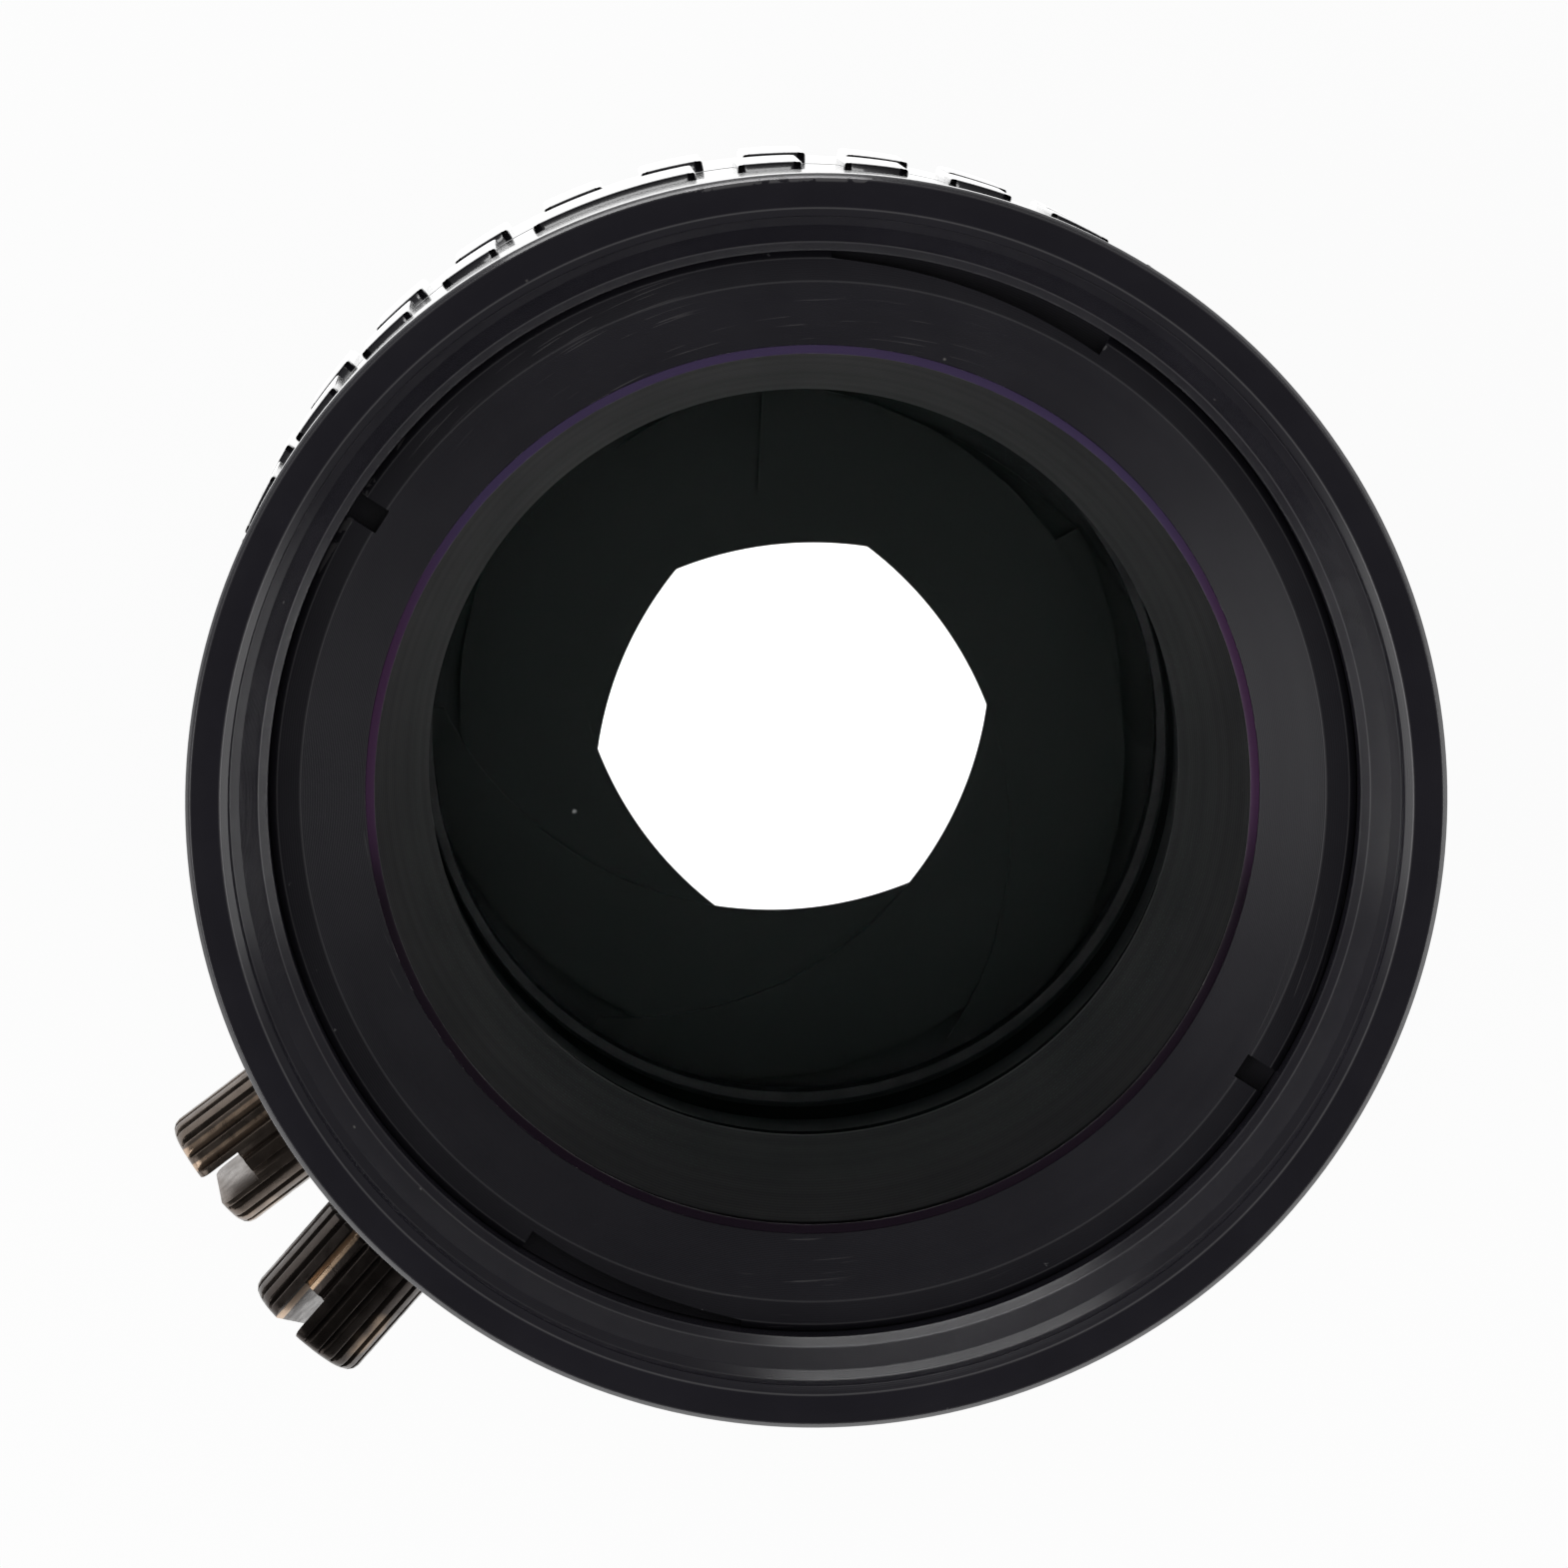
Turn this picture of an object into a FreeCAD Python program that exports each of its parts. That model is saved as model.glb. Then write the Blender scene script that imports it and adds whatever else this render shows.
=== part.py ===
import FreeCAD, Part
import math
import os

# A C-mount machine vision lens: a turned barrel with a focus ring, an iris ring, a six-blade
# iris and two lock screws. Millimetres. The origin is the centre of the mount's seat face,
# +Z points out of the front glass, +X is at 0 degrees and angles run anticlockwise as seen
# from the front.

# Mount
MOUNT_THREAD_RADIUS = 12.7
MOUNT_THREAD_LENGTH = 4.0
MOUNT_THREAD_CHAMFER = 0.4
MOUNT_THREAD_WALL = 1.55
MOUNT_BORE_CLEARANCE = 0.15
MOUNT_SEAT_WIDTH = 2.7
MOUNT_FLANGE_HEIGHT = 2.0
MOUNT_CONE_HEIGHT = 2.5
MOUNT_WALL = 1.23
MOUNT_FLOOR = 3.5
MOUNT_LEDGE = 1.5
MOUNT_SOCKET_DEPTH = 6.0

# Walls and clearances, from the optics barrel outwards
OPTICS_FRONT_WALL = 1.05
OPTICS_SKIRT_WALL = 0.55
SLIDE_CLEARANCE = 0.05
MAIN_WALL = 1.4
RUN_CLEARANCE = 0.05
RING_WALL = 1.73
FIT_CLEARANCE = 0.02

# Lengths along the barrel, from the mount forwards
AXIAL_CLEARANCE = 0.05
IRIS_RING_LENGTH = 8.2
DIVIDER_THICKNESS = 0.4
DIVIDER_RECESS = 0.33
FOCUS_RING_LENGTH = 8.65
FOCUS_LAND = 0.33
FRONT_GAP = 0.2
FRONT_BARREL_LENGTH = 7.4
FOCUS_TRAVEL = 3.0

# Grip pads on both rings
PAD_COUNT = 36
PAD_HEIGHT = 0.32
PAD_GAP_ANGLE = 3.9
PAD_MARGIN_REAR = 0.95
PAD_MARGIN_FOCUS = 1.0
PAD_MARGIN_IRIS = 0.55
FOCUS_PAD_PHASE = 3.55
IRIS_PAD_PHASE = 2.3
FOCUS_WIDE_PAD = 10

# Front barrel
STRIP_STEP = 0.14
RIM_STEP = 0.13
RIM_BAND = 1.0
RIM_CHAMFER = 0.15
FILTER_STEP = 1.1
FILTER_THREAD_DEPTH = 1.2
FILTER_THREAD_CHAMFER = 0.25
FILTER_FLOOR_DROP = 0.8
FRONT_BORE_CHAMFER = 0.15
EDGE_BREAK = 0.15

# Front retaining ring
RETAINER_OVERHANG = 1.08
RETAINER_CHAMFER = 0.23
RETAINER_DEPTH = 3.0
RETAINER_THICKNESS = 1.1
RETAINER_FACE_WIDTH = 0.71
RETAINER_COVER = 0.72
RETAINER_LIP = 0.25
SPANNER_SLOT_WIDTH = 0.8
SPANNER_SLOT_DEPTH = 0.5
SPANNER_SLOT_ANGLE = 147.4

# Front glass and its spacer
FRONT_GLASS_STEP = 1.65
FRONT_GLASS_EDGE = 1.9
FRONT_GLASS_BULGE = 2.4
FRONT_GLASS_HOLLOW = 1.5
GLASS_FIT = 0.05
GLASS_LAND = 0.08
SPACER_EXIT_STEP = 1.01

# Inner lens group
GROUP_RADIUS = 12.75
GROUP_LIP = 0.85
SECOND_GLASS_EDGE = 1.8
SECOND_GLASS_BULGE = 1.1
SECOND_GLASS_HOLLOW = 0.6
GROUP_SPACER_LENGTH = 2.6
CROWN_EDGE = 1.6
CROWN_BULGE = 1.2
DOUBLET_BULGE = 0.7
FLINT_EDGE = 1.6
FLINT_HOLLOW = 0.25
GROUP_WEB = 1.15

# Iris
BLADE_COUNT = 6
BLADE_THICKNESS = 0.1
BLADE_PITCH = 0.16
BLADE_EDGE_STEP = 0.4
BLADE_OUTER_RADIUS = 12.1
BLADE_OPEN_OFFSET = 4.1
BLADE_END_ANGLE = 140.0
BLADE_TRAVEL = 27.5
BLADE_REST = 7.64
PIVOT_STEP = 1.05
PIVOT_PIN_RADIUS = 0.4
PIVOT_EAR = 0.45
DRIVE_ARM = 2.0
DRIVE_PIN_RADIUS = 0.3
DRIVE_EAR = 0.35
PIN_CLEARANCE = 0.05
IRIS_CLEAR_RADIUS = 7.6
IRIS_GAP = 0.05
IRIS_HEIGHT_IN_RING = 1.95
BASE_THICKNESS = 0.9
BASE_LAND = 0.4
CAM_OUTER_STEP = 1.35
CAM_INNER_STEP = 1.55
CAM_THICKNESS = 1.2
CAM_GAP = 0.1
IRIS_TRAVEL = 42.0
DRIVE_PIN_ANGLE = 12.0
CAM_PIN_RADIUS = 0.4
CAM_PIN_DEPTH = 1.8
CAM_PIN_REACH = 1.25
CAM_PIN_END_GAP = 0.1

# Rear cell and rear glass
CELL_FLANGE = 1.2
CELL_LIP_LENGTH = 3.1
CELL_LIP = 0.8
CELL_WALL = 0.8
CELL_TAIL = 0.6
OPTICS_SKIRT = 0.9
REAR_FLINT_EDGE = 1.5
REAR_FLINT_HOLLOW = 0.7
REAR_DOUBLET_BULGE = 0.2
REAR_CROWN_EDGE = 2.0
REAR_CROWN_BULGE = 1.1
REAR_SPACER_LENGTH = 2.5
REAR_GLASS_EDGE = 1.8
REAR_GLASS_BULGE = 0.5
REAR_RETAINER_LENGTH = 1.0
REAR_SLOT_WIDTH = 0.8

# Focus drive
NECK_WALL = 0.75
FOCUS_RETAINER_LENGTH = 0.8
FOCUS_RETAINER_WALL = 0.12
FOCUS_COUNTERBORE_WALL = 0.81
NUT_GAP = 0.25
NUT_RECESS = 0.1
GUIDE_PIN_RADIUS = 0.6
GUIDE_PIN_HEIGHT = 1.55
GUIDE_PIN_ANGLE = 100.0
GUIDE_DEPTH = 0.8
STOP_PIN_RADIUS = 0.6
STOP_PIN_HEIGHT = 0.85
STOP_PIN_ANGLE = 300.0
STOP_PIN_REACH = 0.9
FOCUS_TURN = 180.0

# Set screws that hold the mount
SET_SCREW_COUNT = 3
SET_SCREW_RADIUS = 1.0
SET_SCREW_ANGLE = 30.0
SET_SCREW_RECESS = 0.1
SET_SCREW_SOCKET_RADIUS = 0.5
SET_SCREW_SOCKET_DEPTH = 0.6

# Lock screws
LOCK_OFFSET = 0.35
FOCUS_LOCK_ANGLE = 228.7
IRIS_LOCK_ANGLE = 217.2
LOCK_GAP = 0.15
LOCK_PAD_RADIUS = 0.9
LOCK_PAD_LENGTH = 0.9
LOCK_THREAD_RADIUS = 1.0
LOCK_HEAD_GAP = 1.35
LOCK_HEAD_RADIUS = 2.08
LOCK_HEAD_LENGTH = 3.8
LOCK_HEAD_CHAMFER = 0.4
LOCK_COLLAR_RADIUS = 1.4
LOCK_COLLAR_LENGTH = 0.5
LOCK_RIB_COUNT = 18
LOCK_RIB_DEPTH = 0.17
LOCK_RIB_GAP = 0.3
LOCK_SLOT_WIDTH = 0.85
LOCK_SLOT_DEPTH = 1.5
FOCUS_SLOT_TILT = 25.0
IRIS_SLOT_TILT = 8.0

CUT_MARGIN = 1.0

# Radii worked out from the glass and the iris outwards
group_bore = GROUP_RADIUS + GLASS_FIT
front_glass_radius = GROUP_RADIUS + FRONT_GLASS_STEP
glass_bore = front_glass_radius + GLASS_FIT
group_lip_radius = GROUP_RADIUS - GROUP_LIP
spacer_exit_radius = GROUP_RADIUS - SPACER_EXIT_STEP
blade_edge_radius = BLADE_OUTER_RADIUS - BLADE_EDGE_STEP
pivot_circle = BLADE_OUTER_RADIUS + PIVOT_STEP
cam_radius = pivot_circle + CAM_OUTER_STEP
cam_inner_radius = pivot_circle - CAM_INNER_STEP
chamber_radius = cam_radius + RUN_CLEARANCE
base_radius = chamber_radius + BASE_LAND
optics_radius = max(glass_bore + OPTICS_FRONT_WALL, base_radius + OPTICS_SKIRT_WALL)
main_bore = optics_radius + SLIDE_CLEARANCE
main_radius = main_bore + MAIN_WALL
ring_bore = main_radius + RUN_CLEARANCE
ring_floor = ring_bore + RING_WALL
pad_radius = ring_floor + PAD_HEIGHT
strip_radius = ring_floor + STRIP_STEP
rim_radius = strip_radius + RIM_STEP
counterbore = ring_floor - FOCUS_COUNTERBORE_WALL
neck_radius = main_bore + NECK_WALL
divider_radius = ring_floor - DIVIDER_RECESS
mount_radius = main_radius + FIT_CLEARANCE + MOUNT_WALL
flange_radius = MOUNT_THREAD_RADIUS + MOUNT_SEAT_WIDTH
mount_bore = MOUNT_THREAD_RADIUS - MOUNT_THREAD_WALL
cell_radius = mount_bore - MOUNT_BORE_CLEARANCE
cell_bore = cell_radius - CELL_WALL
cell_lip_radius = cell_bore - CELL_LIP
rear_glass_radius = cell_bore - GLASS_FIT
retainer_radius = optics_radius + RETAINER_OVERHANG
retainer_lip_radius = front_glass_radius - RETAINER_COVER
front_bore = retainer_radius + FIT_CLEARANCE
filter_thread_radius = front_bore + FILTER_STEP
cam_pin_root = cam_radius - CAM_PIN_DEPTH
cam_pin_tip = main_radius + CAM_PIN_REACH
lock_head_base = pad_radius + LOCK_HEAD_GAP

# Heights worked out from the mount forwards
main_bottom = MOUNT_FLOOR + MOUNT_LEDGE
mount_height = main_bottom + MOUNT_SOCKET_DEPTH
set_screw_height = main_bottom + MOUNT_SOCKET_DEPTH / 2
iris_ring_bottom = mount_height + AXIAL_CLEARANCE
iris_ring_top = iris_ring_bottom + IRIS_RING_LENGTH
divider_bottom = iris_ring_top + AXIAL_CLEARANCE
divider_top = divider_bottom + DIVIDER_THICKNESS
focus_bottom = divider_top + AXIAL_CLEARANCE
focus_top = focus_bottom + FOCUS_RING_LENGTH
focus_pads_bottom = focus_bottom + PAD_MARGIN_REAR
focus_pads_top = focus_top - PAD_MARGIN_FOCUS
iris_pads_bottom = iris_ring_bottom + PAD_MARGIN_REAR
iris_pads_top = iris_ring_top - PAD_MARGIN_IRIS
focus_lock_height = (focus_pads_bottom + focus_pads_top) / 2 - LOCK_OFFSET
iris_lock_height = (iris_pads_bottom + iris_pads_top) / 2 - LOCK_OFFSET
focus_step = focus_lock_height + LOCK_THREAD_RADIUS + FIT_CLEARANCE + FOCUS_LAND
barrel_bottom = focus_top + FRONT_GAP
rim = barrel_bottom + FRONT_BARREL_LENGTH
optics_top = rim - RETAINER_DEPTH - RETAINER_THICKNESS
base_top = iris_ring_bottom + IRIS_HEIGHT_IN_RING
base_bottom = base_top - BASE_THICKNESS
blades_bottom = base_top + IRIS_GAP
blades_top = blades_bottom + (BLADE_COUNT - 1) * BLADE_PITCH + BLADE_THICKNESS
cam_bottom = blades_top + CAM_GAP
cam_top = cam_bottom + CAM_THICKNESS
cam_pin_height = cam_bottom + CAM_THICKNESS / 2
web_bottom = cam_top + CAM_GAP
web_top = web_bottom + GROUP_WEB
flint_top = web_top + FLINT_EDGE
crown_top = flint_top + CROWN_EDGE
group_spacer_top = crown_top + GROUP_SPACER_LENGTH
second_top = group_spacer_top + SECOND_GLASS_EDGE
front_glass_bottom = optics_top - FRONT_GLASS_EDGE
optics_bottom = base_bottom - CELL_FLANGE - OPTICS_SKIRT
cell_seat = base_bottom - CELL_LIP_LENGTH
rear_flint_bottom = cell_seat - REAR_FLINT_EDGE
rear_crown_bottom = rear_flint_bottom - REAR_CROWN_EDGE
rear_spacer_bottom = rear_crown_bottom - REAR_SPACER_LENGTH
rear_glass_bottom = rear_spacer_bottom - REAR_GLASS_EDGE
rear_retainer_bottom = rear_glass_bottom - REAR_RETAINER_LENGTH
cell_bottom = rear_retainer_bottom - CELL_TAIL
main_shoulder = focus_step + AXIAL_CLEARANCE
main_top = main_shoulder + FOCUS_RETAINER_LENGTH
guide_pin_height = focus_bottom + GUIDE_PIN_HEIGHT
stop_pin_height = focus_bottom + STOP_PIN_HEIGHT

# Iris motion: each blade turns by this many degrees for one degree of the iris ring
BLADE_RATIO = BLADE_TRAVEL / IRIS_TRAVEL
iris_rest = BLADE_REST / BLADE_RATIO

CENTRE = FreeCAD.Vector(0, 0, 0)
UP = FreeCAD.Vector(0, 0, 1)
FULL_TURN = 360.0


def point(radius, height):
    """A point of a half section, in the plane of +X and +Z."""
    return FreeCAD.Vector(radius, 0, height)


def turned(section):
    """A solid turned about Z from a half section of (radius, height) pairs."""
    corners = [point(radius, height) for radius, height in section]
    return Part.Face(Part.makePolygon(corners + corners[:1])).revolve(CENTRE, UP, FULL_TURN)


def sleeve(inner, outer, bottom, top):
    """A plain tube."""
    return turned([(inner, bottom), (outer, bottom), (outer, top), (inner, top)])


def placed(shape, angle, pivot=CENTRE):
    """A copy turned about a line along Z through the pivot."""
    copy = shape.copy()
    copy.rotate(pivot, UP, angle)
    return copy


def sector(inner, outer, bottom, top, start, end):
    """A piece of a tube between two angles."""
    corners = [point(inner, bottom), point(outer, bottom), point(outer, top), point(inner, top)]
    face = Part.Face(Part.makePolygon(corners + corners[:1]))
    return placed(face.revolve(CENTRE, UP, end - start), start)


def radial_rod(radius, inner, outer, height, angle):
    """A round rod that points away from the axis."""
    rod = Part.makeCylinder(radius, outer - inner, point(inner, height), FreeCAD.Vector(1, 0, 0))
    return placed(rod, angle)


def radial_box(inner, outer, width, bottom, top, angle):
    """A straight-sided block that points away from the axis."""
    corner = FreeCAD.Vector(inner, -width / 2, bottom)
    return placed(Part.makeBox(outer - inner, width, top - bottom, corner), angle)


def dome(edge_radius, edge_height, bulge):
    """The arc of a glass face from its edge to its middle, as an edge of a half section."""
    middle = edge_height + bulge
    if bulge == 0:
        return Part.makeLine(point(edge_radius, edge_height), point(0, middle))
    curve = (edge_radius ** 2 + bulge ** 2) / (2 * bulge)
    half = math.asin(edge_radius / curve) / 2
    between = point(curve * math.sin(half), middle - curve + curve * math.cos(half))
    return Part.Arc(point(edge_radius, edge_height), between, point(0, middle)).toShape()


def glass(radius, face_radius, top, bottom, top_bulge, bottom_bulge):
    """A lens element; a bulge is how far the middle of a face stands forward of its edge."""
    upper = dome(face_radius, top, top_bulge)
    lower = dome(face_radius, bottom, bottom_bulge)
    edges = [
        upper,
        Part.makeLine(point(0, top + top_bulge), point(0, bottom + bottom_bulge)),
        lower,
        Part.makeLine(point(face_radius, bottom), point(radius, bottom)),
        Part.makeLine(point(radius, bottom), point(radius, top)),
        Part.makeLine(point(radius, top), point(face_radius, top)),
    ]
    wire = Part.Wire(Part.__sortEdges__(edges))
    return Part.Face(wire).revolve(CENTRE, UP, FULL_TURN)


def mount_barrel():
    """The rear housing with the mount thread, its seat face and the socket for the main barrel."""
    socket = main_radius + FIT_CLEARANCE
    rear = -MOUNT_THREAD_LENGTH
    cone_top = MOUNT_FLANGE_HEIGHT + MOUNT_CONE_HEIGHT
    body = turned([
        (mount_bore, rear),
        (MOUNT_THREAD_RADIUS - MOUNT_THREAD_CHAMFER, rear),
        (MOUNT_THREAD_RADIUS, rear + MOUNT_THREAD_CHAMFER),
        (MOUNT_THREAD_RADIUS, 0),
        (flange_radius - EDGE_BREAK, 0),
        (flange_radius, EDGE_BREAK),
        (flange_radius, MOUNT_FLANGE_HEIGHT),
        (mount_radius, cone_top),
        (mount_radius, mount_height - EDGE_BREAK),
        (mount_radius - EDGE_BREAK, mount_height),
        (socket, mount_height),
        (socket, main_bottom),
        (main_bore, main_bottom),
        (main_bore, MOUNT_FLOOR),
        (mount_bore, MOUNT_FLOOR),
    ])
    for number in range(SET_SCREW_COUNT):
        angle = SET_SCREW_ANGLE + number * FULL_TURN / SET_SCREW_COUNT
        hole = SET_SCREW_RADIUS + FIT_CLEARANCE
        body = body.cut(radial_rod(hole, main_bore, mount_radius + CUT_MARGIN, set_screw_height, angle))
    return body


def mount_set_screws():
    """Socket set screws that clamp the mount on the main barrel."""
    screws = []
    tip = main_radius + FIT_CLEARANCE
    outer = mount_radius - SET_SCREW_RECESS
    for number in range(SET_SCREW_COUNT):
        angle = SET_SCREW_ANGLE + number * FULL_TURN / SET_SCREW_COUNT
        screw = radial_rod(SET_SCREW_RADIUS, tip, outer, set_screw_height, angle)
        corners = []
        for corner in range(6):
            turn = math.radians(corner * 60)
            corners.append(FreeCAD.Vector(outer - SET_SCREW_SOCKET_DEPTH,
                                          SET_SCREW_SOCKET_RADIUS * math.cos(turn),
                                          set_screw_height + SET_SCREW_SOCKET_RADIUS * math.sin(turn)))
        hexagon = Part.Face(Part.makePolygon(corners + corners[:1]))
        socket = hexagon.extrude(FreeCAD.Vector(SET_SCREW_SOCKET_DEPTH + CUT_MARGIN, 0, 0))
        screws.append(screw.cut(placed(socket, angle)))
    return Part.makeCompound(screws)


def cam_pin_sweep(radius):
    """The angle that a rod of the cam pin's size covers each side of its middle, at a radius."""
    return math.degrees(math.asin((CAM_PIN_RADIUS + PIN_CLEARANCE) / radius))


def main_barrel():
    """The fixed tube that carries both rings, with the divider between them."""
    body = turned([
        (main_bore, main_bottom),
        (main_radius, main_bottom),
        (main_radius, divider_bottom),
        (divider_radius, divider_bottom),
        (divider_radius, divider_top),
        (main_radius, divider_top),
        (main_radius, main_shoulder),
        (neck_radius, main_shoulder),
        (neck_radius, main_top),
        (main_bore, main_top),
    ])
    sweep = cam_pin_sweep(main_bore)
    reach = CAM_PIN_RADIUS + PIN_CLEARANCE
    window = sector(main_bore - CUT_MARGIN, main_radius + CUT_MARGIN,
                    cam_pin_height - reach, cam_pin_height + FOCUS_TRAVEL + reach,
                    DRIVE_PIN_ANGLE - iris_rest - sweep,
                    DRIVE_PIN_ANGLE + IRIS_TRAVEL - iris_rest + sweep)
    guide = radial_rod(GUIDE_PIN_RADIUS + FIT_CLEARANCE, main_bore - CUT_MARGIN,
                       main_radius + CUT_MARGIN, guide_pin_height, GUIDE_PIN_ANGLE)
    stop = radial_rod(STOP_PIN_RADIUS + FIT_CLEARANCE, main_bore - CUT_MARGIN,
                      main_radius + CUT_MARGIN, stop_pin_height, STOP_PIN_ANGLE)
    return body.cut([window, guide, stop])


def guide_pin():
    """The pin in the main barrel that runs in the optics barrel's keyway and stops it turning."""
    inner = optics_radius - GUIDE_DEPTH + PIN_CLEARANCE
    outer = main_radius - PIN_CLEARANCE
    return radial_rod(GUIDE_PIN_RADIUS, inner, outer, guide_pin_height, GUIDE_PIN_ANGLE)


def focus_stop_pin():
    """The pin in the main barrel that ends the focus ring's turn."""
    return radial_rod(STOP_PIN_RADIUS, main_bore + PIN_CLEARANCE, main_radius + STOP_PIN_REACH,
                      stop_pin_height, STOP_PIN_ANGLE)


def focus_retaining_ring():
    """The ring screwed on the main barrel's neck that keeps the focus ring on."""
    return sleeve(neck_radius + FIT_CLEARANCE, counterbore - FOCUS_RETAINER_WALL, main_shoulder, main_top)


def grip_pads(ring, bottom, top, phase, skipped):
    """Cuts the gaps between the grip pads of a ring whose pad band is still whole."""
    width = 2 * pad_radius * math.sin(math.radians(PAD_GAP_ANGLE / 2))
    step = FULL_TURN / PAD_COUNT
    gaps = []
    for number in range(PAD_COUNT):
        if number != skipped:
            angle = phase + (number + 0.5) * step
            gaps.append(radial_box(ring_floor, pad_radius + CUT_MARGIN, width, bottom, top, angle))
    return ring.cut(gaps)


def lock_hole(height, angle):
    """The threaded hole of a lock screw through a ring's wall."""
    return radial_rod(LOCK_THREAD_RADIUS + FIT_CLEARANCE, ring_bore - CUT_MARGIN,
                      pad_radius + CUT_MARGIN, height, angle)


def focus_ring():
    """The front grip ring, with the counterbore that holds the helicoid nut."""
    ring = turned([
        (ring_bore, focus_bottom),
        (ring_floor - EDGE_BREAK, focus_bottom),
        (ring_floor, focus_bottom + EDGE_BREAK),
        (ring_floor, focus_pads_bottom),
        (pad_radius, focus_pads_bottom),
        (pad_radius, focus_pads_top),
        (ring_floor, focus_pads_top),
        (ring_floor, focus_top - EDGE_BREAK),
        (ring_floor - EDGE_BREAK, focus_top),
        (counterbore, focus_top),
        (counterbore, focus_step),
        (ring_bore, focus_step),
    ])
    ring = grip_pads(ring, focus_pads_bottom, focus_pads_top, FOCUS_PAD_PHASE, FOCUS_WIDE_PAD)
    reach = STOP_PIN_RADIUS + PIN_CLEARANCE
    sweep = math.degrees(math.asin(reach / ring_bore))
    relief = sector(ring_bore - CUT_MARGIN, main_radius + STOP_PIN_REACH + PIN_CLEARANCE,
                    focus_bottom - CUT_MARGIN, stop_pin_height + reach,
                    STOP_PIN_ANGLE - FOCUS_TURN - sweep, STOP_PIN_ANGLE + sweep)
    return ring.cut([relief, lock_hole(focus_lock_height, FOCUS_LOCK_ANGLE)])


def helicoid_nut():
    """The nut fixed in the focus ring whose coarse thread drives the optics barrel."""
    return sleeve(optics_radius + SLIDE_CLEARANCE, counterbore - FIT_CLEARANCE,
                  main_top + NUT_GAP, focus_top - NUT_RECESS)


def iris_ring():
    """The rear grip ring, with the groove that turns the iris pin."""
    ring = turned([
        (ring_bore, iris_ring_bottom),
        (ring_floor - EDGE_BREAK, iris_ring_bottom),
        (ring_floor, iris_ring_bottom + EDGE_BREAK),
        (ring_floor, iris_pads_bottom),
        (pad_radius, iris_pads_bottom),
        (pad_radius, iris_pads_top),
        (ring_floor, iris_pads_top),
        (ring_floor, iris_ring_top - EDGE_BREAK),
        (ring_floor - EDGE_BREAK, iris_ring_top),
        (ring_bore, iris_ring_top),
    ])
    ring = grip_pads(ring, iris_pads_bottom, iris_pads_top, IRIS_PAD_PHASE, None)
    reach = CAM_PIN_RADIUS + PIN_CLEARANCE
    groove = radial_box(ring_bore - CUT_MARGIN, cam_pin_tip + CAM_PIN_END_GAP, 2 * reach,
                        iris_ring_bottom - CUT_MARGIN, cam_pin_height + FOCUS_TRAVEL + reach,
                        DRIVE_PIN_ANGLE)
    return ring.cut([groove, lock_hole(iris_lock_height, IRIS_LOCK_ANGLE)])


def front_barrel():
    """The front tube with the rim, the filter thread's bore and the retaining ring's bore."""
    thread_floor = rim - FILTER_THREAD_DEPTH
    bore_edge = thread_floor - FILTER_FLOOR_DROP
    return turned([
        (optics_radius + FIT_CLEARANCE, barrel_bottom),
        (strip_radius - EDGE_BREAK, barrel_bottom),
        (strip_radius, barrel_bottom + EDGE_BREAK),
        (strip_radius, rim - RIM_BAND - RIM_STEP),
        (rim_radius, rim - RIM_BAND),
        (rim_radius, rim - RIM_CHAMFER),
        (rim_radius - RIM_CHAMFER, rim),
        (filter_thread_radius + FILTER_THREAD_CHAMFER, rim),
        (filter_thread_radius, rim - FILTER_THREAD_CHAMFER),
        (filter_thread_radius, thread_floor),
        (front_bore + FRONT_BORE_CHAMFER, bore_edge),
        (front_bore, bore_edge - FRONT_BORE_CHAMFER),
        (front_bore, optics_top),
        (optics_radius + FIT_CLEARANCE, optics_top),
    ])


def optics_barrel():
    """The sliding tube that carries all the glass and the iris."""
    tube = turned([
        (base_radius, optics_bottom),
        (optics_radius, optics_bottom),
        (optics_radius, optics_top),
        (glass_bore, optics_top),
        (glass_bore, second_top),
        (group_bore, second_top),
        (group_bore, web_top),
        (group_lip_radius, web_top),
        (group_lip_radius, web_bottom),
        (chamber_radius, web_bottom),
        (chamber_radius, base_top),
        (base_radius, base_top),
    ])
    reach = GUIDE_PIN_RADIUS + PIN_CLEARANCE
    keyway = radial_box(optics_radius - GUIDE_DEPTH, optics_radius + CUT_MARGIN, 2 * reach,
                        guide_pin_height - FOCUS_TRAVEL - reach, guide_pin_height + reach, GUIDE_PIN_ANGLE)
    sweep = cam_pin_sweep(chamber_radius)
    pin_reach = CAM_PIN_RADIUS + PIN_CLEARANCE
    window = sector(chamber_radius - CUT_MARGIN / 2, optics_radius + CUT_MARGIN,
                    cam_pin_height - pin_reach, cam_pin_height + pin_reach,
                    DRIVE_PIN_ANGLE - iris_rest - sweep,
                    DRIVE_PIN_ANGLE + IRIS_TRAVEL - iris_rest + sweep)
    return tube.cut([keyway, window])


def front_retaining_ring():
    """The ring that clamps the front glass, with a sloping inner face and two spanner slots."""
    face = rim - RETAINER_DEPTH
    flat_edge = retainer_radius - RETAINER_CHAMFER
    cone_edge = flat_edge - RETAINER_FACE_WIDTH
    ring = turned([
        (retainer_lip_radius, optics_top),
        (retainer_radius, optics_top),
        (retainer_radius, face - RETAINER_CHAMFER),
        (flat_edge, face),
        (cone_edge, face),
        (retainer_lip_radius, optics_top + RETAINER_LIP),
    ])
    slots = [
        radial_box(cone_edge, retainer_radius + CUT_MARGIN, SPANNER_SLOT_WIDTH,
                   face - SPANNER_SLOT_DEPTH, face + CUT_MARGIN, SPANNER_SLOT_ANGLE + turn)
        for turn in (0, FULL_TURN / 2)
    ]
    return ring.cut(slots)


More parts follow.
